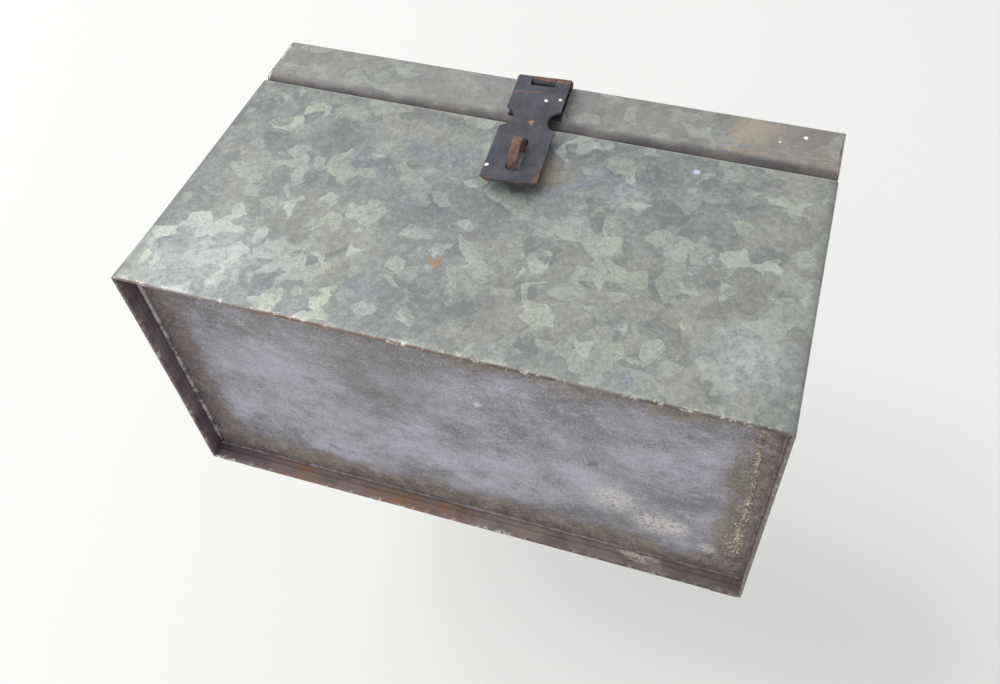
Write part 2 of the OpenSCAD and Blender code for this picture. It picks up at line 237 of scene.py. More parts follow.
def quads(rows, columns, round_rows, round_columns):
    """The faces between neighbouring rows and columns of a grid, as corner numbers; a round direction
    also joins its last line to its first."""
    r = np.arange(rows if round_rows else rows - 1)[:, None]
    c = np.arange(columns if round_columns else columns - 1)[None, :]
    r_next, c_next = (r + 1) % rows, (c + 1) % columns
    corners = [r * columns + c, r * columns + c_next, r_next * columns + c_next, r_next * columns + c]
    return np.stack(np.broadcast_arrays(*corners), -1).reshape(-1, 4)


def make_piece(name, grids, body, finishes, replaced=(), round_rows=False,
               round_columns=False, crease=38.0, edge=0.0):
    """One closed mesh from grids of points: each grid becomes quads, edges that meet are welded, and
    all faces are turned outwards. An edge width rounds the sharp edges."""
    points, faces, first = [], [], 0
    for grid in grids:
        rows, columns = grid.shape[:2]
        points.append(grid.reshape(-1, 3))
        faces.append(quads(rows, columns, round_rows, round_columns) + first)
        first += rows * columns
    mesh = bpy.data.meshes.new(name)
    mesh.from_pydata(np.concatenate(points).tolist(), [], np.concatenate(faces).tolist())
    work = bmesh.new()
    work.from_mesh(mesh)
    bmesh.ops.remove_doubles(work, verts=work.verts, dist=2e-6)
    bmesh.ops.dissolve_degenerate(work, edges=work.edges, dist=1e-7)
    bmesh.ops.recalc_face_normals(work, faces=work.faces)
    work.to_mesh(mesh)
    work.free()
    mesh.shade_smooth()
    mesh.set_sharp_from_angle(angle=math.radians(crease))
    for finish in finishes:
        mesh.materials.append(finish)
    piece = bpy.data.objects.new(name, mesh)
    bpy.context.scene.collection.objects.link(piece)
    if edge > 0.0:
        rounding = piece.modifiers.new("rounded_edges", "BEVEL")
        rounding.width = edge
        rounding.segments = 2
        rounding.limit_method = "ANGLE"
        rounding.angle_limit = math.radians(crease)
        rounding.harden_normals = True
    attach(piece, body)
    if replaced:
        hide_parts(*replaced)
    return piece


def arc(middle, radius, start, end, steps):
    """Points on a circle in a flat section, from one angle in degrees to another."""
    angle = np.radians(np.linspace(start, end, steps))
    return np.stack([middle[0] + radius * np.cos(angle), middle[1] + radius * np.sin(angle)], -1)


def line(start, end, steps):
    """Evenly spaced points from start to end in a flat section, the last one left out."""
    return np.linspace(start, end, steps, endpoint=False)


def body_plan(inset, long_steps=90, short_steps=48, corner_steps=7):
    """The closed outline of the body, drawn smaller by inset (one value for each row of points):
    straight sides between corner arcs whose radius shrinks with the inset."""
    inset = np.asarray(inset)[..., None]
    radius = np.maximum(CORNER - inset, 0.05 * MM)
    half = np.array([BODY_LONG / 2.0, HALF_DEEP])
    straight = half - inset[..., None] - radius[..., None]
    sides = []
    for side in range(4):
        steps = long_steps if side % 2 == 0 else short_steps
        ease = np.linspace(-1.0, 1.0, steps)
        turn_angle = np.radians(90.0 * side - 90.0 + np.linspace(0.0, 90.0, corner_steps))[1:-1]
        along = ease * np.ones_like(radius)
        sx, sy = straight[..., 0], straight[..., 1]
        corner_x = [1.0, 1.0, -1.0, -1.0][side]
        corner_y = [-1.0, 1.0, 1.0, -1.0][side]
        run = [(along * sx, -sy - radius), (sx + radius, along * sy),
               (-along * sx, sy + radius), (-sx - radius, -along * sy)][side]
        sides.append(np.stack(np.broadcast_arrays(*run), -1))
        sides.append(np.stack([corner_x * sx + radius * np.cos(turn_angle),
                               corner_y * sy + radius * np.sin(turn_angle)], -1))
    return np.concatenate(sides, -2)


def body_section():
    """The sheet's closed section, as (inset from the outside, height): up the outside, round the top
    bend and the flange, down the inside, and round the hem."""
    outer = line((0.0, SHEET), (0.0, BODY_TOP - TOP_BEND), 44)
    bend = arc((TOP_BEND, BODY_TOP - TOP_BEND), TOP_BEND, 180.0, 90.0, 6)[:-1]
    flange = line((TOP_BEND, BODY_TOP), (RIM - 0.4 * MM, BODY_TOP), 7)
    lip = arc((RIM - 0.4 * MM, BODY_TOP - SHEET / 2.0), SHEET / 2.0, 90.0, -90.0, 5)
    under = line((RIM - 0.8 * MM, BODY_TOP - SHEET), (SHEET + 0.4 * MM, BODY_TOP - SHEET), 6)
    inner = line((SHEET, BODY_TOP - SHEET - 0.4 * MM), (SHEET, HEM + 0.4 * MM), 40)
    hem_top = arc((1.5 * SHEET, HEM - 0.4 * MM), SHEET / 2.0, 110.0, 0.0, 4)
    hem_in = line((2.0 * SHEET, HEM - 0.8 * MM), (2.0 * SHEET, SHEET), 4)
    fold = arc((SHEET, SHEET), SHEET, 0.0, -180.0, 9)[:-1]
    return np.concatenate([outer, bend, flange, lip, under, inner, hem_top, hem_in, fold])


section = body_section()
plan = body_plan(section[:, 0])
height = np.broadcast_to(section[:, 1][:, None], plan.shape[:2])
edge_fade = np.clip((BODY_LONG / 2.0 - np.abs(plan[..., 0])) / (40.0 * MM), 0.0, 1.0)
side_fade = np.clip((HALF_DEEP - np.abs(plan[..., 1])) / (30.0 * MM), 0.0, 1.0)
on_long_side = np.abs(plan[..., 1]) > 60.0 * MM
sag = np.sin(np.pi * np.clip(height / BODY_TOP, 0.0, 1.0)) ** 0.7
wave = ripples(plan[..., 0], height, 0.11, 3)
push_long = np.where(on_long_side, 0.45 * MM * wave * sag * edge_fade, 0.0)
push_short = np.where(on_long_side, 0.0,
                      0.4 * MM * ripples(plan[..., 1], height, 0.09, 5) * sag * side_fade)
foot = 0.16 * MM * ripples(plan[..., 0], plan[..., 1], 0.03, 8) * np.exp(-height / (2.5 * MM))
flare = 1.3 * MM * np.exp(-height / (28.0 * MM)) * np.exp(-(plan[..., 1] + HALF_DEEP) / (45.0 * MM))
body_points = np.stack([
    plan[..., 0] + np.sign(plan[..., 0]) * push_short - np.where(plan[..., 0] < -0.148, flare, 0.0),
    plan[..., 1] + MIDDLE_Y + np.sign(plan[..., 1]) * push_long,
    height + np.abs(foot),
], -1)


def join(kind, a, b=0.0):
    """One step of arithmetic on two numbers or outputs."""
    return Number(node("Math", {0: a, 1: b}, operation=kind).outputs[0])


def blend_in(amount, below, above, mode="MIX"):
    """Lays one colour over another by an amount from 0 to 1."""
    made = node("Mix", {0: amount, 6: below, 7: above}, data_type="RGBA", blend_type=mode)
    return made.outputs[2]


def between(value, low, high, start=0.0, end=1.0):
    """Runs smoothly from start to end as a value goes from low to high."""
    spread = node("MapRange", {"Value": value, "From Min": low, "From Max": high, "To Min": start,
                               "To Max": end}, interpolation_type="SMOOTHSTEP")
    return Number(spread.outputs["Result"])


def tint(colour, tone, value, low, high, most=1.0):
    """Lays a tone over a colour, from nothing where the value is low to most where it is high."""
    return blend_in(between(value, low, high, 0.0, most), colour, shade(*tone))


def noise(where, scale, detail=4.0, roughness=0.55, distortion=0.0):
    """Cloudy noise from 0 to 1 over the piece."""
    made = node("TexNoise", {"Vector": where, "Scale": scale, "Detail": detail, "Roughness": roughness,
                             "Distortion": distortion})
    return Number(made.outputs["Fac"])


def moved(where, shift=(0.0, 0.0, 0.0), turned=(0.0, 0.0, 0.0), stretch=(1.0, 1.0, 1.0)):
    """The same place after a shift, a turn and a stretch."""
    return node("Mapping", {"Vector": where, "Location": shift, "Rotation": turned,
                            "Scale": stretch}).outputs[0]


def spot(where, place, radius, soft=0.3, ragged=0.0):
    """1 inside a small mark at a place on the object, 0 outside it; a ragged mark has an uneven edge."""
    away = node("VectorMath", {0: where, 1: place}, operation="DISTANCE").outputs["Value"]
    if ragged > 0.0:
        uneven = noise(where, 0.55 / radius, 3.0, 0.6) - 0.5
        away = away + uneven * (2.0 * ragged * radius)
    return between(away, radius * (1.0 + soft), radius * (1.0 - soft))


def flakes(where, size, share, seed):
    """Zinc crystals of about one size: (1 on a share of them that catch the light, a random colour for
    each)."""
    cells = node("TexVoronoi", {"Vector": moved(where, (seed, -0.7 * seed, 0.4 * seed)),
                                "Scale": 1.0 / size, "Randomness": 1.0}, feature="F1")
    draw = node("SeparateColor", {0: cells.outputs["Color"]})
    lit = between(draw.outputs[0], 1.0 - share - 0.004, 1.0 - share + 0.004)
    return lit, draw


def galvanised(name, brown=0.0):
    """Hot-dip zinc that has gone dull: grey-green ground, pale angular crystals with concave sides,
    feathery streaks inside them, bluish clouds, white bloom and a little rust."""
    finish = new_finish(name)
    where = node("TexCoord").outputs["Object"]
    sway = node("TexNoise", {"Vector": where, "Scale": 70.0, "Detail": 1.5})
    bend_by = node("VectorMath", {0: sway.outputs["Color"], 1: (0.5, 0.5, 0.5)}, operation="SUBTRACT")
    shift = node("VectorMath", {0: bend_by.outputs[0], "Scale": 0.009}, operation="SCALE")
    bent = node("VectorMath", {0: where, 1: shift.outputs[0]}, operation="ADD").outputs[0]

    large, large_draw = flakes(bent, 0.013, 0.27, 0.0)
    small, small_draw = flakes(bent, 0.0076, 0.19, 3.1)
    dark_flakes, _ = flakes(bent, 0.0112, 0.2, 5.3)
    bites, _ = flakes(bent, 0.0102, 0.38, 7.7)
    grown = large * (1.0 - bites)
    bright = join("MAXIMUM", grown, small * 0.8)

    # The ground: flakes that face away, in slightly different greys, under slow clouds.
    cloud = noise(where, 13.0, 5.0, 0.6)
    patch = noise(moved(where, (0.31, 0.2, 0.1)), 26.0, 5.0, 0.62, 0.6)
    ground_tone = tint(shade(118, 122, 122), (138, 139, 131), cloud, 0.36, 0.66)
    ground_tone = tint(ground_tone, (124, 128, 137), patch, 0.55, 0.75)
    ground_tone = blend_in(dark_flakes * 0.42, ground_tone, shade(98, 103, 106))
    facet = between(large_draw.outputs[1], 0.0, 1.0, -0.5, 0.5)
    facet_small = between(small_draw.outputs[2], 0.0, 1.0, -0.5, 0.5)
    value = 1.0 + (facet * 0.16 + facet_small * 0.1)
    ground_tone = node("HueSaturation",
                       {"Color": ground_tone, "Value": value, "Saturation": 1.0}).outputs[0]

    # The bright crystals, with fine streaks in a direction of their own.
    lean = join("MULTIPLY", large_draw.outputs[2], 6.28)
    turned = node("VectorRotate", {"Vector": where, "Axis": (0.35, 0.85, 0.4), "Angle": lean},
                  rotation_type="AXIS_ANGLE").outputs[0]
    streak = noise(moved(turned, stretch=(1.0, 1.0, 0.14)), 750.0, 4.0, 0.75)
    pale = blend_in(large_draw.outputs[2], shade(178, 181, 166), shade(172, 180, 174))
    pale = tint(pale, (134, 141, 132), streak, 0.42, 0.6, 0.5)
    strength = between(large_draw.outputs[1], 0.0, 1.0, 0.4, 0.95)
    wear = between(patch, 0.4, 0.68, 1.0, 0.42)
    colour = blend_in(bright * strength * wear, ground_tone, pale)

    # Age: fine grain, dark handling marks, white bloom and thin rust.
    mottle = noise(where, 320.0, 5.0, 0.75)
    colour = blend_in(between(mottle, 0.4, 0.5, 0.26, 0.0), colour, shade(92, 96, 97))
    colour = tint(colour, (172, 175, 172), mottle, 0.5, 0.6, 0.22)
    grain = noise(where, 1500.0, 2.0, 0.7)
    colour = tint(colour, (88, 92, 93), grain, 0.46, 0.62, 0.22)
    grime = noise(moved(where, (0.6, 0.1, 0.9)), 34.0, 8.0, 0.72)
    colour = tint(colour, (84, 88, 92), grime, 0.6, 0.8, 0.55)
    bloom = noise(moved(where, (0.2, 0.9, 0.4)), 55.0, 9.0, 0.78)
    colour = tint(colour, (184, 190, 192), bloom, 0.58, 0.7, 0.55)
    rust = noise(moved(where, (0.8, 0.5, 0.2)), 30.0, 7.0, 0.7)
    colour = tint(colour, (128, 108, 88), rust, 0.66, 0.8, 0.45 + 0.3 * brown)
    marks = {"streak": streak, "grain": grain, "bloom": bloom, "grime": grime, "bright": bright,
             "mottle": mottle}
    return finish, where, colour, marks


def metal_surface(colour, metallic, roughness, relief, depth):
    """Ends a finish: a metal surface of that colour and roughness, with a relief of the given depth."""
    bump = node("Bump", {"Strength": 1.0, "Distance": depth, "Height": relief})
    surface = node("BsdfPrincipled",
                   {"Base Color": colour, "Metallic": metallic, "Roughness": roughness,
                    "Normal": bump.outputs[0]})
    show(surface)


def coordinate(where, axis):
    """One coordinate of a place: 0 is X, 1 is Y and 2 is Z."""
    return Number(node("SeparateXYZ", {0: where}).outputs[axis])


def zinc_relief(marks):
    """The height of a zinc surface: crystals and their streaks, grain, and crusts of bloom."""
    streak, grain, bloom, bright = (marks[kind] for kind in ("streak", "grain", "bloom", "bright"))
    return streak * 0.25 + grain * 0.3 + bright * 0.15 + between(bloom, 0.58, 0.8, 0.0, 0.6)


def body_zinc():
    """The body's finish: galvanised, brown and dark inside the foot, chipped along the hem's fold, with a
    painted highlight along the top edge and painted shade along the upright folds."""
    finish, where, colour, marks = galvanised("galvanised_body")
    x, y, z = (coordinate(where, axis) for axis in range(3))
    bloom, grime, mottle = (marks[kind] for kind in ("bloom", "grime", "mottle"))
    half_x = join("ABSOLUTE", x)
    # Dull violet-brown inside the foot, and everything else inside it.
    facing = node("NewGeometry").outputs["True Normal"]
    turned_x = coordinate(facing, 0) * join("SIGN", x)
    turned_y = coordinate(facing, 1) * join("SIGN", y - MIDDLE_Y)
    inward = between(join("MINIMUM", turned_x, turned_y), -0.2, -0.5)
    low = between(z, 13.0 * MM, 12.0 * MM)
    inside = inward * low
    stain = noise(where, 45.0, 7.0, 0.68)
    foot_left = tint(shade(102, 89, 97), (138, 127, 131), stain, 0.35, 0.68)
    foot_right = tint(shade(112, 102, 102), (158, 149, 147), stain, 0.35, 0.68)
    foot_tone = blend_in(between(x, -0.13, 0.0), foot_left, foot_right)
    foot_tone = tint(foot_tone, (150, 132, 110), bloom, 0.52, 0.7, 0.35)
    rear_inner = between(y, 0.06, 0.07) * between(stain, 0.5, 0.66)
    foot_tone = blend_in(rear_inner * 0.6, foot_tone, shade(132, 98, 66))
    colour = blend_in(inside, colour, foot_tone)
    # The fold of the hem: a thin red-brown line with white chips that come in runs.
    cloudy_x = noise(moved(where, (0.7, 0.0, 0.2)), 22.0, 2.0, 0.5)
    fold = between(z + bloom * (1.2 * MM), 1.9 * MM, 1.1 * MM)
    fold_red = tint(shade(104, 74, 66), (70, 60, 54), x, -0.03, 0.06)
    fold_tone = tint(fold_red, (108, 100, 96), grime, 0.46, 0.6)
    fold_tone = tint(fold_tone, (116, 102, 96), half_x, 0.1485, 0.15)
    chips = between(noise(where, 230.0, 5.0, 0.75), 0.54, 0.6)
    chips = chips * between(z, 2.8 * MM, 1.0 * MM)
    chips = chips * between(cloudy_x, 0.4, 0.56, 0.4, 1.0)
    colour = blend_in(fold * 0.9, colour, fold_tone)
    chips = chips * between(x, -0.02, 0.06, 0.85, 0.5)
    colour = blend_in(chips, colour, shade(206, 200, 188))
    # Painted highlight along the top fold, and painted shade along the upright folds.
    top_fold_highlight = between(z, BODY_TOP - 2.2 * MM, BODY_TOP - 0.6 * MM, 0.0, 0.5)
    colour = blend_in(top_fold_highlight, colour, shade(170, 172, 166))
    # Painted shade: darker towards the upright folds at the ends, outside the foot.
    corner_fold_shade = between(half_x, BODY_LONG / 2.0 - 6.0 * MM, BODY_LONG / 2.0 - 0.5 * MM, 0.0, 0.5)
    corner_fold_shade = corner_fold_shade * (1.0 - inside)
    colour = blend_in(corner_fold_shade, colour, shade(98, 102, 100))
    # A scuffed oval on the foot's rear wall, flux stains by it, and a pale scab on the right.
    oval_off = node("VectorMath", {0: where, 1: (0.097, BACK - SHEET, 0.0075)}, operation="SUBTRACT")
    oval_at = moved(oval_off.outputs[0], stretch=(0.42, 1.0, 1.3))
    oval = spot(oval_at, (0.0, 0.0, 0.0), 0.0042, 0.35, 0.7)
    oval = oval * between(noise(where, 520.0, 5.0, 0.7), 0.42, 0.52, 0.25, 1.0)
    colour = blend_in(oval * inside, colour, shade(198, 190, 180))
    for place, size in (((-0.039, BACK, 0.008), 0.016), ((-0.092, BACK, 0.0035), 0.014),
                        ((-0.007, BACK, 0.009), 0.01)):
        flux = spot(where, place, size, 0.8) * between(grime, 0.4, 0.56)
        flux = flux * (inside * 0.7)
        colour = blend_in(flux, colour, shade(140, 100, 62))
    scab = spot(where, (0.1512, -0.026, 0.006), 0.004, 0.5) * inside
    colour = blend_in(scab * 0.8, colour, shade(176, 168, 158))
    # Rust washed from the hasp, an orange spot, a bluish paint spot, and patches of white bloom.
    for place, size, amount, tone in (((-0.0145, 0.048), 0.0034, 0.65, (150, 112, 74)),
                                      ((0.0861, 0.1369), 0.0016, 0.9, (196, 204, 222)),
                                      ((0.0598, 0.1132), 0.0085, 0.30, (186, 190, 188)),
                                      ((-0.118, 0.019), 0.024, 0.30, (186, 190, 192)),
                                      ((0.128, 0.030), 0.016, 0.30, (180, 186, 190))):
        mark = spot(where, (place[0], FRONT, place[1]), size, 0.6, 0.6)
        mark = mark * amount * between(mottle, 0.36, 0.54, 0.35, 1.0)
        colour = blend_in(mark, colour, shade(*tone))
    colour = blend_in(spot(where, (0.0175, FRONT, 0.116), 0.009, 0.9) * 0.45, colour, shade(124, 96, 76))
    roughness = between(marks["bright"], 0.0, 1.0, 0.5, 0.4)
    metal_surface(colour, 0.38, roughness, zinc_relief(marks), 0.00022)
    return finish


body_finish = body_zinc()
make_piece("body_sheet", [body_points], "box", [body_finish], ["body_shell"],
           round_rows=True, round_columns=True)

# ---------------------------------------------------------------------------------------
# The lap seam: the band's end laps over its start on the back wall, near the right end,
# and is sweated down with solder that shows as an uneven line along its edge.
# ---------------------------------------------------------------------------------------
LAP = 14.0 * MM
LAP_RIGHT = BODY_LONG / 2.0 - 2.0 * MM


def carried(path, sideways):
    """A section (y, z) carried along X: rows follow the section, columns are the given X places."""
    grid = np.empty((len(path), len(sideways), 3))
    grid[..., 0] = sideways[None, :]
    grid[..., 1:] = path[:, None, :]
    return grid


SIDES = {"first row": np.s_[0], "last row": np.s_[-1], "first column": np.s_[:, 0],
         "last column": np.s_[:, -1]}


def shell(outer, inner, without=None):
    """A sheet with both faces and the strips that close its rim, all four or without one of them."""
    return [outer, inner] + [np.stack([outer[edge], inner[edge]]) for side, edge in SIDES.items()
                             if side != without]


across_lap = np.linspace(LAP_RIGHT - LAP, LAP_RIGHT, 15)
up_lap = np.linspace(0.3 * MM, BODY_TOP - 1.0 * MM, 60)
lap_path = np.stack([np.full_like(up_lap, BACK + SHEET), up_lap], -1)
lap_outer = carried(lap_path, across_lap)
lap_outer[..., 1] += 0.12 * MM * ripples(lap_outer[..., 0], lap_outer[..., 2], 0.04, 12)
lap_outer[:, 0, 0] += 0.25 * MM * ripples(up_lap, up_lap, 0.02, 13)
lap_inner = lap_outer.copy()
lap_inner[..., 1] = BACK - 0.45 * MM
make_piece("body_lap", shell(lap_outer, lap_inner), "box", [body_finish], edge=0.2 * MM)


def bead(path, outward, aside, width, depth, seed, around=10, closed=False, lumps=0.35):
    """A lumpy bead of solder along a path: a half-round section of uneven size, spread along two
    directions at each point, and closed behind."""
    along = np.concatenate([[0.0], np.cumsum(np.linalg.norm(np.diff(path, axis=0), axis=1))])
    draw = np.random.default_rng(seed)
    size = 1.0 + lumps * ripples(along, 0.0, 0.012, seed)
    size = size + 0.5 * lumps * ripples(along, along, 0.004, seed + 1)
    size = np.clip(size, 0.35, 1.7) * draw.uniform(0.94, 1.06, len(path))
    if not closed:
        size = size * np.clip(8.0 * np.sin(np.linspace(0.0, np.pi, len(path))), 0.02, 1.0) ** 0.5
    else:
        size[-1] = size[0]
    angle = np.linspace(0.0, 2.0 * np.pi, around, endpoint=False)
    side = np.cos(angle)[None, :, None] * aside[:, None, :] * width / 2.0
    rise = np.sin(angle)[None, :, None] * outward[:, None, :] * depth
    return path[:, None, :] + (side + rise) * size[:, None, None]


def capped(rings):
    """Closes both ends of a tube of rings by drawing each end ring in to its middle."""
    start = np.broadcast_to(rings[:1].mean(1, keepdims=True), rings[:1].shape)
    end = np.broadcast_to(rings[-1:].mean(1, keepdims=True), rings[-1:].shape)
    return np.concatenate([start, rings, end])


def solder_finish(name, bright, dull, pale_left_crust_and_highlight=None):
    """Old tin-lead solder: soft grey, lumpy, dirty in its hollows, with a few pale crusts."""
    finish = new_finish(name)
    where = node("TexCoord").outputs["Object"]
    cloud = noise(where, 160.0, 6.0, 0.7)
    speck = noise(where, 700.0, 4.0, 0.75)
    colour = blend_in(between(cloud, 0.36, 0.64), dull, bright)
    # A pale tone on the left end: a whitish crust on the lid's seams, and a painted highlight along the
    # pan's fillet.
    if pale_left_crust_and_highlight is not None:
        left = between(coordinate(where, 0), -0.147, -0.1485)
        colour = blend_in(left * between(cloud, 0.38, 0.56), colour, pale_left_crust_and_highlight)
    colour = tint(colour, (70, 62, 62), speck, 0.56, 0.68, 0.6)
    metal_surface(colour, 0.3, between(cloud, 0.3, 0.7, 0.62, 0.45), speck, 0.0003)
    return finish


lap_solder = solder_finish("lap_solder", shade(176, 176, 172), shade(120, 120, 118))
bead_up = np.linspace(2.0 * MM, BODY_TOP - 3.0 * MM, 150)
bead_x = LAP_RIGHT - LAP + 0.2 * MM * ripples(bead_up, bead_up, 0.03, 21)
bead_path = np.stack([bead_x, np.full_like(bead_up, BACK), bead_up], -1)
outward = np.broadcast_to([0.0, 1.0, 0.0], bead_path.shape)
aside = np.broadcast_to([1.0, 0.0, 0.0], bead_path.shape)
make_piece("lap_seam_solder", [capped(bead(bead_path, outward, aside, 2.6 * MM, 0.75 * MM, 22))], "box",
           [lap_solder], round_columns=True, crease=70.0)

# ---------------------------------------------------------------------------------------
# The bottom: a shallow pan of the same sheet, slipped inside the walls a finger's width
# up and soldered all round from below. Its underside has gone lavender-grey and brown.
# ---------------------------------------------------------------------------------------
PAN_GAP = 0.9 * MM
PAN_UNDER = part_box("bottom_pan")[0].z
PAN_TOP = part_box("bottom_pan")[1].z
PAN_CORNER = 1.3 * MM


def pan_sag(x, y):
    """How far the pan hangs down or up at a place: slow waves that die out towards the walls."""
    in_x = np.clip((BODY_LONG / 2.0 - np.abs(x)) / (30.0 * MM), 0.0, 1.0)
    in_y = np.clip((HALF_DEEP - np.abs(y)) / (24.0 * MM), 0.0, 1.0)
    fade = (in_x * in_y) ** 1.2
    return fade * (0.55 * MM * ripples(x, y, 0.10, 31) - 0.35 * MM)


def round_plan(half_x, half_y, radius, size, steps=96):
    """A closed outline with round corners, scaled about its middle by size: a squared-off circle whose
    corners are the arcs."""
    side = np.linspace(-1.0, 1.0, steps // 4, endpoint=False)
    one = np.ones_like(side)
    x = np.concatenate([side, one, -side, -one])
    y = np.concatenate([-one, side, one, -side])
    px, py = x * half_x, y * half_y
    over_x = np.maximum(np.abs(px) - (half_x - radius), 0.0)
    over_y = np.maximum(np.abs(py) - (half_y - radius), 0.0)
    reach = np.maximum(np.hypot(over_x, over_y), 1e-9)
    both = (over_x > 0) & (over_y > 0)
    fit = np.where(both, radius / reach, 1.0)
    px = np.where(both, np.sign(px) * (half_x - radius + over_x * fit), px)
    py = np.where(both, np.sign(py) * (half_y - radius + over_y * fit), py)
    size = np.asarray(size)[:, None]
    return np.stack([size * px, size * py], -1)


half_pan = np.array([BODY_LONG / 2.0 - PAN_GAP, HALF_DEEP - PAN_GAP])
spread = np.concatenate([np.linspace(0.0, 0.93, 34), [0.96, 0.985, 1.0]])
disc = round_plan(half_pan[0], half_pan[1], PAN_CORNER, spread, 240)
under = np.concatenate([disc, (PAN_UNDER + pan_sag(disc[..., 0], disc[..., 1]))[..., None]], -1)
rim_low = under[-1:].copy()
wall_up = np.linspace(PAN_UNDER, PAN_TOP, 6)[1:]
outside = np.repeat(rim_low, len(wall_up), 0)
outside[..., 2] = wall_up[:, None]
flange_in = 1.0 - SHEET / half_pan[None, None, :]
inside = outside[::-1].copy()
inside[..., :2] *= flange_in
inside = inside[:-1]
upper = under[::-1].copy()
upper[..., :2] *= flange_in
upper[..., 2] += SHEET
pan_points = np.concatenate([under, outside, inside, upper])
pan_points[..., 1] += MIDDLE_Y


def pan_finish():
    """The pan's underside: lavender-grey zinc oxide in the middle, brown flux stain in a ragged border
    along the walls, pale scrapes and cream crusts."""
    finish = new_finish("stained_pan")
    where = node("TexCoord").outputs["Object"]
    x, y = coordinate(where, 0), coordinate(where, 1)
    gap_x = BODY_LONG / 2.0 - join("ABSOLUTE", x)
    gap_y = HALF_DEEP - join("ABSOLUTE", y - MIDDLE_Y)
    gap = join("MINIMUM", gap_x, gap_y)
    ragged = noise(where, 24.0, 6.0, 0.66)
    fine = noise(where, 110.0, 6.0, 0.7)
    grit = noise(where, 900.0, 3.0, 0.75)
    shifted = gap + (0.5 - ragged) * 0.045
    shifted = shifted + (0.5 - fine) * 0.01
    border = between(shifted, 0.026, 0.012)

    cloud = noise(moved(where, (0.4, 0.1, 0.0), (0.0, 0.0, 0.35), (1.0, 1.8, 1.0)), 16.0, 6.0, 0.62)
    middle = tint(shade(110, 109, 111), (162, 162, 173), cloud, 0.34, 0.66)
    green = noise(moved(where, (0.1, 0.7, 0.0)), 12.0, 4.0, 0.6)
    middle = tint(middle, (118, 118, 112), green, 0.52, 0.66, 0.5)
    brush = noise(moved(where, (0.0, 0.0, 0.0), (0.0, 0.0, -0.9), (0.6, 1.0, 1.0)), 170.0, 9.0, 0.82)
    middle = tint(middle, (182, 182, 193), brush, 0.5, 0.62, 0.42)
    middle = tint(middle, (94, 94, 101), brush, 0.47, 0.36, 0.42)
    # Three brighter lavender clouds, and a duller patch between them.
    for place, size, amount in (((-0.100, 0.008), 0.030, 0.6), ((-0.068, 0.044), 0.022, 0.5),
                                ((0.060, 0.004), 0.038, 0.35)):
        cloudy = spot(where, (*place, PAN_UNDER), size, 0.9) * between(fine, 0.3, 0.62, 0.3, 1.0)
        middle = blend_in(cloudy * amount, middle, shade(172, 172, 183))
    dull = spot(where, (-0.028, -0.036, PAN_UNDER), 0.026, 0.9) * 0.5
    middle = blend_in(dull, middle, shade(116, 115, 112))
    edge_tone = tint(shade(96, 85, 82), (138, 126, 118), fine, 0.36, 0.66)
    edge_tone = tint(edge_tone, (124, 120, 108), ragged, 0.44, 0.62, 0.45)
    edge_tone = tint(edge_tone, (90, 78, 80), x, -0.1, -0.14, 0.45)
    colour = blend_in(border, middle, edge_tone)
    # Cream crusts where water stood, pale scrapes, and small dark dents.
    crust = noise(moved(where, (0.9, 0.3, 0.0)), 420.0, 5.0, 0.8)
    for place, size in (((0.080, 0.030), 0.0100), ((0.102, 0.0435), 0.0100), ((0.113, 0.0440), 0.007),
                        ((0.1295, 0.057), 0.004), ((0.0145, -0.024), 0.0022)):
        mark = spot(where, (place[0], place[1], PAN_UNDER), size, 0.75)
        mark = mark * between(crust, 0.42, 0.55, 0.2, 1.0)
        colour = blend_in(mark * 0.85, colour, shade(206, 200, 196))
    scrape = noise(moved(where, (0.2, 0.2, 0.0), (0.0, 0.0, 1.1), (0.22, 1.0, 1.0)), 210.0, 4.0, 0.6)
    colour = tint(colour, (182, 178, 172), scrape, 0.68, 0.73, 0.45)
    colour = tint(colour, (80, 76, 79), grit, 0.52, 0.64, 0.36)
    colour = tint(colour, (190, 190, 197), grit, 0.47, 0.37, 0.3)
    blotch = noise(moved(where, (0.5, 0.9, 0.0)), 75.0, 8.0, 0.78)
    colour = tint(colour, (90, 86, 89), blotch, 0.46, 0.36, 0.5)
    colour = tint(colour, (178, 177, 184), blotch, 0.54, 0.66, 0.4)
    relief = grit * 0.5 + brush * 0.5
    relief = relief + fine * 0.8
    metal_surface(colour, 0.3, between(border, 0.0, 1.0, 0.5, 0.62), relief, 0.0004)
    return finish


stained_finish = pan_finish()
make_piece("pan_sheet", [pan_points], "box", [stained_finish], ["bottom_pan"],
           round_columns=True)

# ---------------------------------------------------------------------------------------
# The pan's solder: a lumpy fillet run round the corner between the pan and the walls, and
# a crumbly second run a few millimetres in from the right wall.
# ---------------------------------------------------------------------------------------


def fillet_path(inset, steps_x, steps_y):
    """A closed rectangle round the foot at one inset: (points, the level direction in from the wall)."""
    hx, hy = BODY_LONG / 2.0 - inset, HALF_DEEP - inset
    xs, ys = np.linspace(-hx, hx, steps_x, endpoint=False), np.linspace(-hy, hy, steps_y, endpoint=False)
    px = np.concatenate([xs, np.full_like(ys, hx), -xs, np.full_like(ys, -hx)])
    py = np.concatenate([np.full_like(xs, -hy), ys, np.full_like(xs, hy), -ys])
    counts = [steps_x, steps_y, steps_x, steps_y]
    inward_x = np.repeat([0.0, -1.0, 0.0, 1.0], counts)
    inward_y = np.repeat([1.0, 0.0, -1.0, 0.0], counts)
    points = np.stack([px, py + MIDDLE_Y, np.full_like(px, PAN_UNDER - 0.5 * MM)], -1)
    return points, np.stack([inward_x, inward_y, np.zeros_like(px)], -1)


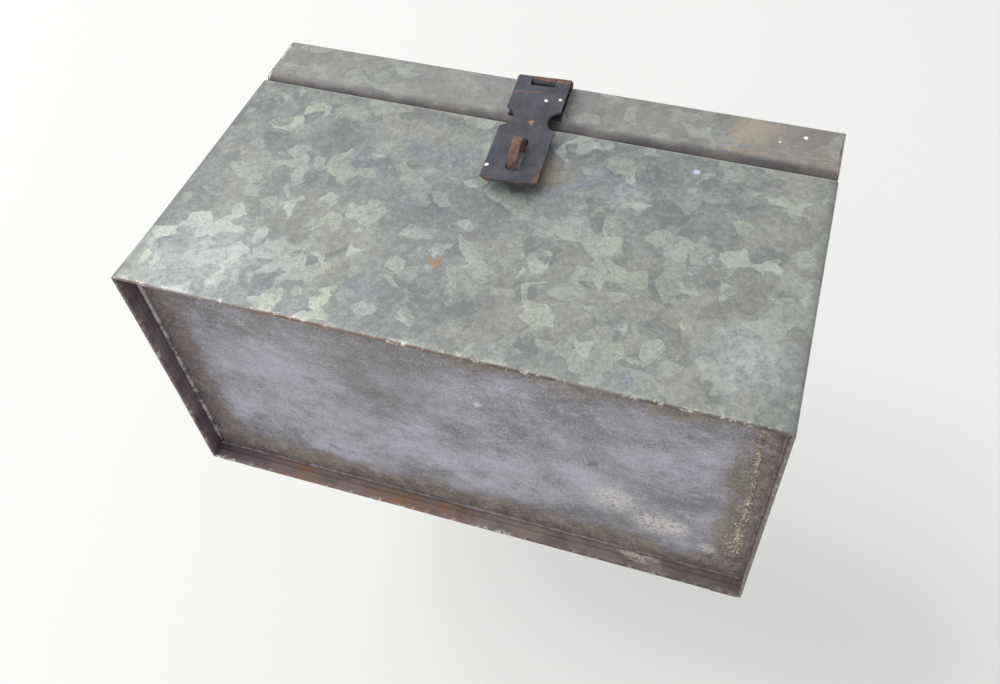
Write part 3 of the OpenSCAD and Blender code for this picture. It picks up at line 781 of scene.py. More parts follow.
ring_path, ring_inward = fillet_path(SHEET + 1.0 * MM, 330, 170)
away = ring_inward * 0.70 + np.array([0.0, 0.0, -0.70])
along_wall = ring_inward * -0.70 + np.array([0.0, 0.0, -0.70])
fillet = bead(ring_path, away, along_wall, 2.3 * MM, 0.85 * MM, 41, around=12, closed=True, lumps=0.22)
# The pale tone on the fillet's left part is a painted highlight.
pan_solder = solder_finish("pan_solder", shade(124, 115, 114), shade(88, 79, 79),
                           pale_left_crust_and_highlight=shade(168, 160, 164))
make_piece("pan_solder_fillet", [fillet], "box", [pan_solder], ["bottom_solder"],
           round_rows=True, round_columns=True, crease=70.0)


def crumbs(count, seed, middle, spread, smallest, largest):
    """Many small lumps in one grid: each is a squashed ball of five rings, with its own size and a
    place drawn round a line."""
    draw = np.random.default_rng(seed)
    place = middle + draw.normal(0.0, 1.0, (count, 3)) * spread
    size = draw.uniform(smallest, largest, (count, 1, 1, 1)) * draw.uniform(0.6, 1.3, (count, 1, 1, 3))
    lift = np.radians(np.linspace(-90.0, 90.0, 5))[:, None]
    turn_round = np.linspace(0.0, 2.0 * np.pi, 6, endpoint=False)[None, :]
    ball = np.stack(np.broadcast_arrays(np.cos(lift) * np.cos(turn_round),
                                        np.cos(lift) * np.sin(turn_round), np.sin(lift)), -1)
    return list(place[:, None, None, :] + ball[None] * size)


CRUMBS = 460
draw_line = np.random.default_rng(51)
down_run = draw_line.uniform(0.0, 1.0, CRUMBS) ** 0.8
run_middle = np.stack([BODY_LONG / 2.0 - 11.6 * MM + 2.4 * MM * np.clip(2.5 * down_run, 0.0, 1.0),
                       FRONT + (16.0 + 112.0 * down_run) * MM, np.full_like(down_run, PAN_UNDER)], -1)
crumb_spread = np.stack([0.35 + 1.9 * down_run ** 2, np.full_like(down_run, 1.5),
                         np.full_like(down_run, 0.10)], -1) * MM
crumb_grids = crumbs(CRUMBS, 52, run_middle, crumb_spread, 0.22 * MM, 0.80 * MM)
crumb_solder = solder_finish("crumb_solder", shade(196, 185, 170), shade(122, 108, 98))
make_piece("solder_crumbs", crumb_grids, "box", [crumb_solder], round_columns=True, crease=80.0)
run_steps = np.linspace(0.0, 1.0, 90)
run_x = BODY_LONG / 2.0 - 11.4 * MM + 2.0 * MM * np.clip(2.5 * run_steps, 0.0, 1.0)
run_x = run_x + 0.5 * MM * ripples(run_steps, run_steps, 0.2, 55)
run_path = np.stack([run_x, FRONT + (8.0 + 110.0 * run_steps) * MM,
                     np.full_like(run_steps, PAN_UNDER + 0.05 * MM)], -1)
down = np.broadcast_to([0.0, 0.0, -1.0], run_path.shape)
aside = np.broadcast_to([1.0, 0.0, 0.0], run_path.shape)
make_piece("solder_run", [capped(bead(run_path, down, aside, 0.9 * MM, 0.30 * MM, 56, lumps=0.6))], "box",
           [crumb_solder], round_columns=True, crease=80.0)

# ---------------------------------------------------------------------------------------
# The staple: a flat iron bar bent into an arch, passed through the front wall and a small
# backing plate, and hammered over inside. Both are rusty iron.
# ---------------------------------------------------------------------------------------
joints = {joint["name"]: joint for joint in frame["joints"]}
HASP_AXIS = np.array(joints["hasp_swing"]["pos_m"])
HASP_SIDE = -np.array(joints["hasp_swing"]["axis"]) / np.linalg.norm(joints["hasp_swing"]["axis"])
HASP_DOWN = np.cross(HASP_SIDE, [0.0, -1.0, 0.0])
HASP_DOWN = HASP_DOWN if HASP_DOWN[2] < 0 else -HASP_DOWN
STAPLE_BAR = np.array([4.6, 2.0]) * MM
PLATE_HALF_WIDE = 6.0 * MM
PLATE_HALF_LONG = 15.6 * MM
STAPLE_ARCH = 9.8 * MM
STAPLE_DROP = 60.0 * MM
STAPLE_OUT = 13.8 * MM


def on_hasp(points):
    """Points (sideways, out from the axis, drop below it) put in place on the crooked hasp."""
    return (HASP_AXIS + points[..., :1] * HASP_SIDE + points[..., 1:2] * np.array([0.0, -1.0, 0.0])
            + points[..., 2:3] * HASP_DOWN)


def swept(path, aside, section):
    """A closed section (across, out) carried along a flat path; across is a fixed direction and out is
    at right angles to it and to the path."""
    forward = np.gradient(path, axis=0)
    forward = forward / np.linalg.norm(forward, axis=1, keepdims=True)
    out = np.cross(forward, aside)
    return path[:, None, :] + section[..., :1] * aside + section[..., 1:2] * out[:, None, :]


def soft_bar(width, thickness, corner, steps=4):
    """The section of a flat bar with round corners, as a closed loop."""
    w, t = width / 2.0 - corner, thickness / 2.0 - corner
    corners = [arc(middle, corner, start, start + 90.0, steps)
               for middle, start in (((w, t), 0.0), ((-w, t), 90.0), ((-w, -t), 180.0), ((w, -t), 270.0))]
    return np.concatenate(corners)


# Out and drop along the bar: in from the wall, round the arch, and back to the wall.
wall_out = FRONT - HASP_AXIS[1]
leg_end = -wall_out - 3.0 * MM
arch_start = -wall_out + STAPLE_OUT - STAPLE_ARCH - STAPLE_BAR[1] / 2.0
arch_angle = np.radians(np.linspace(-90.0, 90.0, 41))
leg_out = np.linspace(leg_end, arch_start, 8, endpoint=False)
path_out = np.concatenate([leg_out, arch_start + STAPLE_ARCH * np.cos(arch_angle), leg_out[::-1]])
path_drop = np.concatenate([np.full(8, -STAPLE_ARCH), STAPLE_ARCH * np.sin(arch_angle),
                            np.full(8, STAPLE_ARCH)])
bar = soft_bar(STAPLE_BAR[0], STAPLE_BAR[1], 0.45 * MM)
flat_path = np.stack([np.zeros_like(path_out), path_out, path_drop], -1)
rings = swept(flat_path, np.array([1.0, 0.0, 0.0]), np.broadcast_to(bar, (len(flat_path),) + bar.shape))
rings[..., 2] += STAPLE_DROP
dents = 0.10 * MM * ripples(rings[..., 1], rings[..., 2], 0.006, 61)
rings[..., 0] += dents


def rusty_finish(name, light, dark):
    """Old iron under even brown rust, darker in its pits, with a few orange freckles."""
    finish = new_finish(name)
    where = node("TexCoord").outputs["Object"]
    cloud = noise(where, 220.0, 6.0, 0.7)
    pits = noise(where, 1300.0, 4.0, 0.75)
    freckle = noise(moved(where, (0.3, 0.3, 0.3)), 480.0, 5.0, 0.7)
    colour = blend_in(between(cloud, 0.34, 0.66), dark, light)
    colour = tint(colour, (150, 96, 66), freckle, 0.58, 0.7, 0.6)
    colour = tint(colour, (52, 40, 38), pits, 0.52, 0.68, 0.55)
    metal_surface(colour, 0.15, between(cloud, 0.3, 0.7, 0.78, 0.6), pits, 0.0003)
    return finish


staple_finish = rusty_finish("rusty_iron", shade(122, 96, 86), shade(80, 60, 56))
make_piece("staple_loop", [capped(on_hasp(rings))], "box", [staple_finish], ["staple"],
           round_columns=True, crease=60.0)
plate_low, plate_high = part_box("staple_backing_plate")
plate_x = np.linspace(-PLATE_HALF_WIDE, PLATE_HALF_WIDE, 7)
plate_drop = np.linspace(-PLATE_HALF_LONG, PLATE_HALF_LONG, 15)
plate_grid = np.stack(np.broadcast_arrays(plate_x[None, :], 0.0, plate_drop[:, None] + STAPLE_DROP), -1)
plate_outer, plate_inner = plate_grid.copy(), plate_grid.copy()
plate_outer[..., 1] = HASP_AXIS[1] - plate_low.y
plate_inner[..., 1] = HASP_AXIS[1] - plate_high.y
make_piece("staple_plate", shell(on_hasp(plate_outer), on_hasp(plate_inner)), "box", [staple_finish],
           ["staple_backing_plate"], edge=0.25 * MM)

# ---------------------------------------------------------------------------------------
# The hinges: two pairs of leaves stamped from steel strip, their knuckles rolled round a
# headed pin. The upper leaves are on the lid and the lower ones on the body.
# ---------------------------------------------------------------------------------------
HINGE_AXIS = np.array(joints["lid_open"]["pos_m"])
HINGE_X = 95.0 * MM
HINGE_W = 38.0 * MM
HINGE_REACH = 23.0 * MM
LEAF = 1.2 * MM
KNUCKLE = 2.7 * MM
MIDDLE_KNUCKLE = HINGE_W / 6.0
KNUCKLE_GAP = 0.3 * MM
LEAF_CORNER = 3.0 * MM
RIVET_SHANK, RIVET_TAIL, RIVET_TAIL_HIGH = 1.5 * MM, 2.35 * MM, 0.75 * MM
PIN_HEAD_HIGH = 0.9 * MM
PIN_HEAD_GAP = 0.1 * MM
HINGE_WALL = HINGE_AXIS[1] - BACK


def rolled(radius, thickness, wall, neck, start, turns):
    """A leaf's knuckle as (out from the axis, away from it): it leaves the leaf at neck and rolls round
    the pin. Returns its outer and inner face, from the leaf to the free end."""
    angle = np.radians(np.linspace(start, start + turns, 26))
    outer = np.stack([-radius * np.cos(angle), -radius * np.sin(angle)], -1)
    inner = outer * (1.0 - thickness / radius)
    root_outer = np.array([[-wall, neck]])
    root_inner = np.array([[-wall + thickness, neck]])
    return np.concatenate([root_outer, outer]), np.concatenate([root_inner, inner])


def leaf_grids(width, reach, corner, wall, neck, thickness, radius, knuckles, start, turns):
    """A leaf with rolled knuckles: a flat plate with round corners from its far edge to the neck, and
    one roll on each stretch of the width that holds a knuckle."""
    marks = sorted({-width / 2.0, width / 2.0, *[x for pair in knuckles for x in pair]})
    runs = [np.linspace(a, b, 7) for a, b in zip(marks[:-1], marks[1:])]
    columns = np.unique(np.concatenate(runs).round(7))
    drop = np.concatenate([reach - corner + corner * np.sin(np.radians(np.linspace(90.0, 0.0, 6))),
                           np.linspace(reach - corner, neck, 9)[1:]])
    into = np.clip((drop - reach + corner) / corner, 0.0, 1.0)
    half = width / 2.0 - corner * (1.0 - np.sqrt(1.0 - into ** 2))
    flat = np.empty((len(drop), len(columns), 3))
    flat[..., 0] = columns[None, :] * (half / (width / 2.0))[:, None]
    flat[..., 2] = drop[:, None]
    face, rear = flat.copy(), flat.copy()
    face[..., 1], rear[..., 1] = -wall + thickness, -wall
    grids = shell(face, rear, "last row")
    outer, inner = rolled(radius, thickness, wall, neck, start, turns)
    open_columns = np.ones(len(columns) - 1, bool)
    for low, high in knuckles:
        pick = np.where((columns >= low - 1e-7) & (columns <= high + 1e-7))[0]
        open_columns[pick[:-1]] = False
        grids += shell(carried(outer, columns[pick]), carried(inner, columns[pick]), "first row")
    for gap in np.where(open_columns)[0]:
        grids.append(np.stack([face[-1, gap:gap + 2], rear[-1, gap:gap + 2]]))
    return grids


def hinge_points(grid, side, up):
    """Leaf points (sideways, out, away from the axis) put on the left or right hinge, on the lid or the
    body."""
    placed = grid.copy()
    placed[..., 0] = side * HINGE_X + grid[..., 0]
    placed[..., 1] = HINGE_AXIS[1] + grid[..., 1]
    placed[..., 2] = HINGE_AXIS[2] + up * grid[..., 2]
    return placed


def steel_finish(name, light, dark, rust_amount):
    """Plain steel hardware gone grey-brown: worn bright on its edges, freckled with rust."""
    finish = new_finish(name)
    where = node("TexCoord").outputs["Object"]
    cloud = noise(where, 120.0, 6.0, 0.68)
    pits = noise(where, 1000.0, 4.0, 0.75)
    freckle = noise(moved(where, (0.5, 0.1, 0.3)), 260.0, 7.0, 0.75)
    worn = node("NewGeometry").outputs["Pointiness"]
    colour = blend_in(between(cloud, 0.34, 0.66), dark, light)
    colour = tint(colour, (120, 82, 58), freckle, 0.54, 0.68, rust_amount)
    colour = tint(colour, (58, 54, 54), pits, 0.54, 0.7, 0.45)
    colour = tint(colour, (168, 166, 160), worn, 0.52, 0.6, 0.5)
    metal_surface(colour, 0.45, between(cloud, 0.3, 0.7, 0.55, 0.42), pits, 0.0002)
    return finish


hinge_finish = steel_finish("hinge_steel", shade(124, 120, 114), shade(88, 84, 80), 0.6)
rivet_finish = steel_finish("rivet_steel", shade(140, 138, 132), shade(98, 94, 90), 0.45)
body_knuckles = [(-HINGE_W / 2.0, -MIDDLE_KNUCKLE - KNUCKLE_GAP),
                 (MIDDLE_KNUCKLE + KNUCKLE_GAP, HINGE_W / 2.0)]
lid_knuckle = [(-MIDDLE_KNUCKLE, MIDDLE_KNUCKLE)]
NECK = KNUCKLE + KNUCKLE_GAP


def turned_points(profile, place, axis, steps=20):
    """A profile (height, radius) turned round an axis that stands at a place: rows follow the profile,
    columns go round."""
    axis = np.asarray(axis, float) / np.linalg.norm(axis)
    first = np.cross(axis, [0.0, 0.0, 1.0] if abs(axis[2]) < 0.9 else [1.0, 0.0, 0.0])
    first = first / np.linalg.norm(first)
    second = np.cross(axis, first)
    angle = np.linspace(0.0, 2.0 * np.pi, steps, endpoint=False)[None, :, None]
    ring = np.cos(angle) * first + np.sin(angle) * second
    return np.asarray(place) + profile[:, :1, None] * axis + profile[:, 1:, None] * ring


def rivet_profile(grip, head_r, head_h, shank_r, tail_r, tail_h):
    """A rivet from the top of its domed head to its hammered tail, as (height above the outer face,
    radius)."""
    lift = np.radians(np.linspace(90.0, 8.0, 8))
    dome = np.stack([head_h * np.sin(lift), head_r * np.cos(lift)], -1)
    skirt = np.array([[0.05 * head_h, head_r], [0.0, head_r * 0.96], [0.0, shank_r], [-grip, shank_r],
                      [-grip, tail_r * 0.9]])
    tail = np.array([[-grip - 0.25 * tail_h, tail_r], [-grip - 0.75 * tail_h, tail_r * 0.85],
                     [-grip - tail_h, tail_r * 0.5], [-grip - tail_h, 0.0]])
    return np.concatenate([dome[:1] * [1.0, 0.0], dome[1:], skirt, tail])


def rivet_group(places, axis, grip, seed):
    """Several rivets on one axis direction, each hammered a little differently: the dome is pushed
    aside and flattened by its own draw."""
    draw = np.random.default_rng(seed)
    grids = []
    for place in places:
        head_h, head_r = draw.uniform(0.85, 1.05) * MM, draw.uniform(2.65, 2.85) * MM
        profile = rivet_profile(grip, head_r, head_h, RIVET_SHANK, RIVET_TAIL, RIVET_TAIL_HIGH)
        lean = np.asarray(axis, float) + draw.normal(0.0, 0.03, 3)
        grids.append(turned_points(profile, place, lean))
    return grids


for side, name in ((-1, "left"), (1, "right")):
    for up, owner, knuckles, body in ((-1, "body", body_knuckles, "box"), (1, "lid", lid_knuckle, "lid")):
        grids = leaf_grids(HINGE_W, HINGE_REACH, LEAF_CORNER, HINGE_WALL, NECK, LEAF, KNUCKLE, knuckles,
                           0.0, 285.0)
        make_piece(f"{name}_hinge_{owner}_plate", [hinge_points(g, side, up) for g in grids], body,
                   [hinge_finish], [f"{name}_hinge_{owner}_leaf"], edge=0.22 * MM)
        spots = np.array([[-13.0, 0.0, 9.5], [13.0, 0.0, 9.5], [0.0, 0.0, 17.5]]) * MM
        spots[:, 1] = -HINGE_WALL + LEAF
        make_piece(f"{name}_hinge_{owner}_domed_rivets",
                   rivet_group(hinge_points(spots, side, up), [0.0, 1.0, 0.0], LEAF + SHEET,
                               70 + side + 4 * up), body, [rivet_finish],
                   [f"{name}_hinge_{owner}_rivets"], round_columns=True)


def pin_grid(middle, axis, length, radius, head_r, head_t):
    """A pin with a domed head at each end, as one profile turned round its axis."""
    lift = np.radians(np.linspace(90.0, 0.0, 6))
    head = np.stack([length / 2.0 + PIN_HEAD_GAP + head_t * 0.4 + head_t * 0.6 * np.sin(lift),
                     head_r * np.cos(lift)], -1)
    inner = np.array([[length / 2.0 + PIN_HEAD_GAP, head_r], [length / 2.0 + PIN_HEAD_GAP, radius]])
    half = np.concatenate([head, inner])
    return turned_points(np.concatenate([half, half[::-1] * [-1.0, 1.0]]), middle, axis, 24)


for side, name in ((-1, "left"), (1, "right")):
    pin = pin_grid([side * HINGE_X, HINGE_AXIS[1], HINGE_AXIS[2]], [1.0, 0.0, 0.0], HINGE_W, 1.3 * MM,
                   2.15 * MM, PIN_HEAD_HIGH)
    make_piece(f"{name}_hinge_headed_pin", [pin], "box", [rivet_finish],
               [f"{name}_hinge_pin"], round_columns=True)

# ---------------------------------------------------------------------------------------
# The lid: one sheet wrapped over front, top and back, with a wide soft bend along both
# lower edges and a flange turned in under it. Its ends are flat plates soldered on.
# ---------------------------------------------------------------------------------------
LOW_BEND = 5.5 * MM
HIGH_BEND = 1.6 * MM
LID_RIM = 10.0 * MM
END_EDGE = 0.15 * MM
lid_low, lid_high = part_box("lid_left_end")[0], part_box("lid_sheet")[1]
LID_UNDER, LID_TOP = lid_low.z, lid_high.z
LID_END = -lid_low.x


def lid_wrap(inset):
    """The lid's section from one flange edge over the top to the other, drawn smaller by inset, as (y,
    z)."""
    half, low, high = HALF_DEEP - inset, LID_UNDER + inset, LID_TOP - inset
    low_r, high_r = LOW_BEND - inset, max(HIGH_BEND - inset, 0.2 * MM)
    front = [line((-HALF_DEEP + LID_RIM, low), (-half + low_r, low), 6),
             arc((-half + low_r, low + low_r), low_r, 270.0, 180.0, 14)[:-1],
             line((-half, low + low_r), (-half, high - high_r), 16),
             arc((-half + high_r, high - high_r), high_r, 180.0, 90.0, 7)[:-1]]
    top = np.linspace((-half + high_r, high), (half - high_r, high), 61)
    near = np.concatenate(front)
    return np.concatenate([near, top, (near * [-1.0, 1.0])[::-1]]) + [MIDDLE_Y, 0.0]


wrap_outer, wrap_inner = lid_wrap(0.0), lid_wrap(SHEET)
lid_x = np.linspace(-LID_END + SHEET, LID_END - SHEET, 110)


def lid_wave(grid):
    """Moves the lid's faces in and out by slow waves that die out at its bends and its ends."""
    x, y, z = grid[..., 0], grid[..., 1] - MIDDLE_Y, grid[..., 2]
    ends = np.clip((LID_END - np.abs(x)) / (25.0 * MM), 0.0, 1.0)
    on_top = np.clip((z - LID_TOP + 2.0 * MM) / (1.0 * MM), 0.0, 1.0)
    inward = np.clip((HALF_DEEP - np.abs(y)) / (25.0 * MM), 0.0, 1.0)
    upright = np.clip((np.abs(y) - HALF_DEEP + 2.0 * MM) / (1.0 * MM), 0.0, 1.0)
    belly = np.sin(np.pi * np.clip((z - LID_UNDER) / (LID_TOP - LID_UNDER), 0.0, 1.0))
    grid[..., 2] += 0.40 * MM * ends * inward * on_top * (ripples(x, y, 0.10, 81) - 0.2)
    grid[..., 1] += np.sign(y) * 0.25 * MM * ends * belly * upright * ripples(x, z, 0.09, 83)
    return grid


lid_outer = lid_wave(carried(wrap_outer, lid_x))
lid_inner = carried(wrap_inner, lid_x)
lid_inner[..., 1:] = lid_inner[..., 1:] + (lid_outer - carried(wrap_outer, lid_x))[..., 1:]


def lid_zinc():
    """The lid's finish: galvanised and duller than the body, tan towards the right end, and with
    painted shade in violet-brown over its lower bend."""
    finish, where, colour, marks = galvanised("galvanised_lid", 0.3)
    x, z = coordinate(where, 0), coordinate(where, 2)
    grime, bright = marks["grime"], marks["bright"]
    cloud = noise(where, 32.0, 6.0, 0.66)
    colour = blend_in(0.35, colour, shade(132, 130, 124))
    tan = between(x, 0.075, 0.15) * between(cloud, 0.32, 0.6, 0.35, 1.0)
    colour = blend_in(tan * 0.6, colour, shade(124, 112, 106))
    streak_line = between(z, 0.1555, 0.157) * between(z, 0.1605, 0.1585)
    along = between(x, 0.088, 0.104) * between(x, 0.124, 0.114)
    orange = streak_line * along * between(grime, 0.36, 0.54)
    colour = blend_in(orange * 0.5, colour, shade(164, 136, 98))
    # A tan cloud on its right part, and short scratches along it near that end.
    tan_cloud = spot(where, (0.11, FRONT, 0.174), 0.011, 0.8, 0.8) * between(grime, 0.4, 0.54, 0.3, 1.0)
    colour = blend_in(tan_cloud * 0.7, colour, shade(162, 148, 128))
    rubbed = noise(moved(where, (0.4, 0.0, 0.7), stretch=(0.1, 1.0, 1.0)), 900.0, 4.0, 0.7)
    rubbed = between(rubbed, 0.56, 0.64) * between(x, 0.112, 0.126)
    rubbed = rubbed * between(z, 0.172, 0.169)
    colour = blend_in(rubbed * 0.6, colour, shade(172, 160, 150))
    # Painted shade over the lower bend, darkest where it turns in towards the body.
    under = between(z + cloud * (1.6 * MM), 158.6 * MM, 153.2 * MM)
    lower_bend_shade_tone = tint(shade(52, 46, 52), (80, 74, 72), grime, 0.4, 0.62)
    colour = blend_in(under * 0.9, colour, lower_bend_shade_tone)
    for place, size in (((0.1329, FRONT, 0.1752), 0.0011), ((0.1211, FRONT, 0.1689), 0.0006)):
        colour = blend_in(spot(where, place, size, 0.15, 0.3), colour, shade(236, 234, 226))
    metal_surface(colour, 0.36, between(bright, 0.0, 1.0, 0.52, 0.42), zinc_relief(marks), 0.00022)
    return finish


lid_finish = lid_zinc()
make_piece("lid_wrapper", shell(lid_outer, lid_inner), "lid", [lid_finish], ["lid_sheet"])


def lid_end_grid(face_x, inset=0.0):
    """A flat end: the lid's closed section drawn in to a point at its middle, as rings at one X."""
    half, low, high = HALF_DEEP - inset, LID_UNDER + inset, LID_TOP - inset
    low_r, high_r = LOW_BEND - inset, HIGH_BEND - inset
    near = np.concatenate([line((0.0, low), (-half + low_r, low), 16),
                           arc((-half + low_r, low + low_r), low_r, 270.0, 180.0, 14)[:-1],
                           line((-half, low + low_r), (-half, high - high_r), 10),
                           arc((-half + high_r, high - high_r), high_r, 180.0, 90.0, 7)[:-1],
                           line((-half + high_r, high), (0.0, high), 16)])
    far = (near * [-1.0, 1.0])[::-1]
    loop = np.concatenate([near, far])
    middle = np.array([0.0, (low + high) / 2.0])
    draw_in = np.array([1.0, 0.97, 0.9, 0.75, 0.5, 0.25, 0.0])[:, None, None]
    rings_in = middle + (loop - middle) * draw_in
    grid = np.empty(rings_in.shape[:2] + (3,))
    grid[..., 0] = face_x
    grid[..., 1:] = rings_in + [MIDDLE_Y, 0.0]
    return grid


for side, name in ((-1, "left"), (1, "right")):
    face = lid_end_grid(side * (LID_END - END_EDGE))
    face[0] = lid_end_grid(side * (LID_END - END_EDGE), END_EDGE)[0]
    face[..., 0] += side * END_EDGE
    rear = lid_end_grid(side * (LID_END - SHEET))
    rim = np.stack([lid_end_grid(side * LID_END, END_EDGE)[0],
                    lid_end_grid(side * (LID_END - END_EDGE))[0], rear[0]])
    flange_y = np.linspace(-HALF_DEEP + LID_RIM + 0.1 * MM, HALF_DEEP - LID_RIM - 0.1 * MM, 40) + MIDDLE_Y
    flange_x = side * np.linspace(LID_END - SHEET, LID_END - LID_RIM, 8)
    tab = np.stack(np.broadcast_arrays(flange_x[None, :], flange_y[:, None], LID_UNDER), -1)
    tab_up = tab + [0.0, 0.0, SHEET]
    make_piece(f"lid_{name}_end_plate", [face, rear, rim], "lid", [lid_finish],
               [f"lid_{name}_end"], round_columns=True)
    make_piece(f"lid_{name}_end_flange", shell(tab, tab_up), "lid", [lid_finish],
               edge=END_EDGE)

# ---------------------------------------------------------------------------------------
# The lid's end seams: solder run along each end plate's edge, filed nearly flush, with a
# rough whitish crust left on the left end.
# ---------------------------------------------------------------------------------------
seam_solder = solder_finish("seam_solder", shade(130, 124, 116), shade(90, 84, 80),
                            pale_left_crust_and_highlight=shade(180, 176, 168))
for side, name in ((-1, "left"), (1, "right")):
    outline = lid_wrap(0.0)[7:-7]
    steps = np.concatenate([[0.0], np.cumsum(np.linalg.norm(np.diff(outline, axis=0), axis=1))])
    fine = np.linspace(0.0, steps[-1], 420)
    seam = np.stack([np.interp(fine, steps, outline[:, 0]), np.interp(fine, steps, outline[:, 1])], -1)
    along = np.gradient(seam, axis=0)
    along = along / np.linalg.norm(along, axis=1, keepdims=True)
    seam_out = np.stack([np.zeros_like(fine), -along[:, 1], along[:, 0]], -1)
    seam_path = np.stack([np.full_like(fine, side * (LID_END - 0.85 * MM)), seam[:, 0], seam[:, 1]], -1)
    seam_path = seam_path - seam_out * 0.12 * MM
    seam_side = np.broadcast_to([1.0, 0.0, 0.0], seam_path.shape)
    make_piece(f"lid_{name}_seam_solder",
               [capped(bead(seam_path, seam_out, seam_side, 1.5 * MM, 0.26 * MM, 90 + side, lumps=0.5))],
               "lid", [seam_solder], round_columns=True, crease=80.0)

# ---------------------------------------------------------------------------------------
# The hasp: a fixed leaf riveted to the lid's front, a headed pin, and a long swinging
# strap with a waist, a slot for the staple and a lip. All were painted slate and have rusted.
# ---------------------------------------------------------------------------------------
HASP_W = 27.8 * MM
BARREL = 3.0 * MM
STRAP = 1.3 * MM
STRAP_LONG = 81.3 * MM
LID_FACE = FRONT - HASP_AXIS[1]
MID_KNUCKLE = 12.2 * MM
WINDOW = 6.4 * MM
WINDOW_HALF = MID_KNUCKLE / 2.0 + KNUCKLE_GAP
LEAF_REACH = 24.7 * MM
HAIR = 0.02 * MM


def painted_finish(name, window_shade_amount=0.0):
    """Worn slate paint over iron: blue-black with a dull sheen, scuffed grey, rust coming through at
    the barrel, the edges and the lip, and a few drops of pale paint."""
    finish = new_finish(name)
    where = node("TexCoord").outputs["Object"]
    x, z = coordinate(where, 0), coordinate(where, 2)
    cloud = noise(where, 90.0, 6.0, 0.68)
    scuff = noise(moved(where, (0.2, 0.4, 0.1), (0.0, 0.4, 0.0), (1.0, 1.0, 0.3)), 420.0, 6.0, 0.75)
    pits = noise(where, 1500.0, 4.0, 0.75)
    paint = tint(shade(46, 46, 53), (68, 68, 77), cloud, 0.34, 0.66)
    paint = tint(paint, (96, 94, 99), scuff, 0.54, 0.72, 0.45)
    rust = tint(shade(74, 54, 49), (114, 88, 76), scuff, 0.4, 0.62)
    # Where rust shows: the barrel right of its left knuckle, the lip, the lower right edge.
    barrel = between(z, 0.1774, 0.1784) * between(x, -0.0104, -0.009)
    barrel = barrel * between(x, 0.013, 0.0085, 0.4, 1.0)
    lip = between(z + cloud * (4.0 * MM), 0.1062, 0.1012)
    lip = lip * between(x * x, 4.0e-6, 60.0e-6, 0.3, 1.0)
    corner = between(x, 0.0085, 0.015) * between(z, 0.125, 0.108)
    rim = between(node("NewGeometry").outputs["Pointiness"], 0.515, 0.58)
    where_rust = join("MAXIMUM", barrel * 0.85, lip * 0.52)
    where_rust = join("MAXIMUM", where_rust, corner * 0.5)
    broken = between(where_rust + (cloud - 0.5) * 1.3, 0.3, 0.62)
    where_rust = broken * between(where_rust, 0.02, 0.3)
    where_rust = join("MAXIMUM", where_rust, rim * 0.45)
    colour = blend_in(where_rust, paint, rust)
    colour = tint(colour, (44, 40, 44), pits, 0.56, 0.7, 0.4)
    # Painted shade on the lower part of the knuckle that shows through the strap's window.
    colour = tint(colour, (40, 38, 42), z, 0.1783, 0.1776, window_shade_amount)
    # A worn brown band under the window, on the left side.
    level = z - x * 0.17
    level = level + (scuff - 0.5) * (6.0 * MM)
    band = between(level, 0.167, 0.1685) * between(level, 0.1703, 0.1688)
    band = band * between(x, 0.003, -0.002)
    band = band * between(cloud, 0.38, 0.56, 0.2, 0.8)
    colour = blend_in(band, colour, shade(100, 82, 76))
    face = HASP_AXIS[1] - BARREL
    colour = blend_in(spot(where, (0.0006, face, 0.144), 0.0014, 0.4, 1.2) * 0.7, colour,
                      shade(164, 122, 98))
    for along, up, size in ((0.0029, 0.1625, 0.001), (0.0099, 0.1648, 0.0008), (-0.0109, 0.1089, 0.0009)):
        colour = blend_in(spot(where, (along, face, up), size, 0.25, 1.1), colour, shade(240, 238, 230))
    relief = pits * 0.5 + where_rust * 0.8
    relief = relief + scuff * 0.4
    metal_surface(colour, 0.12, between(where_rust, 0.0, 1.0, 0.46, 0.75), relief, 0.0003)
    return finish


slate_finish = painted_finish("slate_paint")
# The fixed leaf's finish, with painted shade on its knuckle below the strap's window.
leaf_finish = painted_finish("slate_paint_in_window", 0.9)


def hasp_points(grid):
    """Leaf points (sideways, back towards the lid, drop) put on the hasp."""
    return on_hasp(np.stack([grid[..., 0], -grid[..., 1], grid[..., 2]], -1))


def fixed_leaf_grids():
    """The fixed leaf: a plate flat on the lid from the neck down, and a middle knuckle rolled over the
    top towards the front."""
    columns = np.concatenate([np.linspace(-HASP_W / 2.0, -MID_KNUCKLE / 2.0, 6)[:-1],
                              np.linspace(-MID_KNUCKLE / 2.0, MID_KNUCKLE / 2.0, 9),
                              np.linspace(MID_KNUCKLE / 2.0, HASP_W / 2.0, 6)[1:]])
    drop = np.linspace(LEAF_REACH, BARREL + KNUCKLE_GAP, 12)
    flat = np.empty((len(drop), len(columns), 3))
    flat[..., 0], flat[..., 2] = columns[None, :], drop[:, None]
    face, rear = flat.copy(), flat.copy()
    face[..., 1], rear[..., 1] = LID_FACE - LEAF, LID_FACE - HAIR
    pick = np.arange(5, 14)
    angle = np.radians(np.linspace(0.0, 290.0, 30))
    outer = np.stack([BARREL * np.cos(angle), -BARREL * np.sin(angle)], -1)
    inner = outer * (1.0 - STRAP / BARREL)
    outer = np.concatenate([[[LID_FACE - HAIR, drop[-1]]], outer])
    inner = np.concatenate([[[LID_FACE - LEAF, drop[-1]]], inner])
    beside = [np.stack([face[-1, part], rear[-1, part]]) for part in (np.s_[:6], np.s_[13:])]
    knuckle = shell(carried(outer, columns[pick]), carried(inner, columns[pick]), "first row")
    return shell(face, rear, "last row") + beside + knuckle


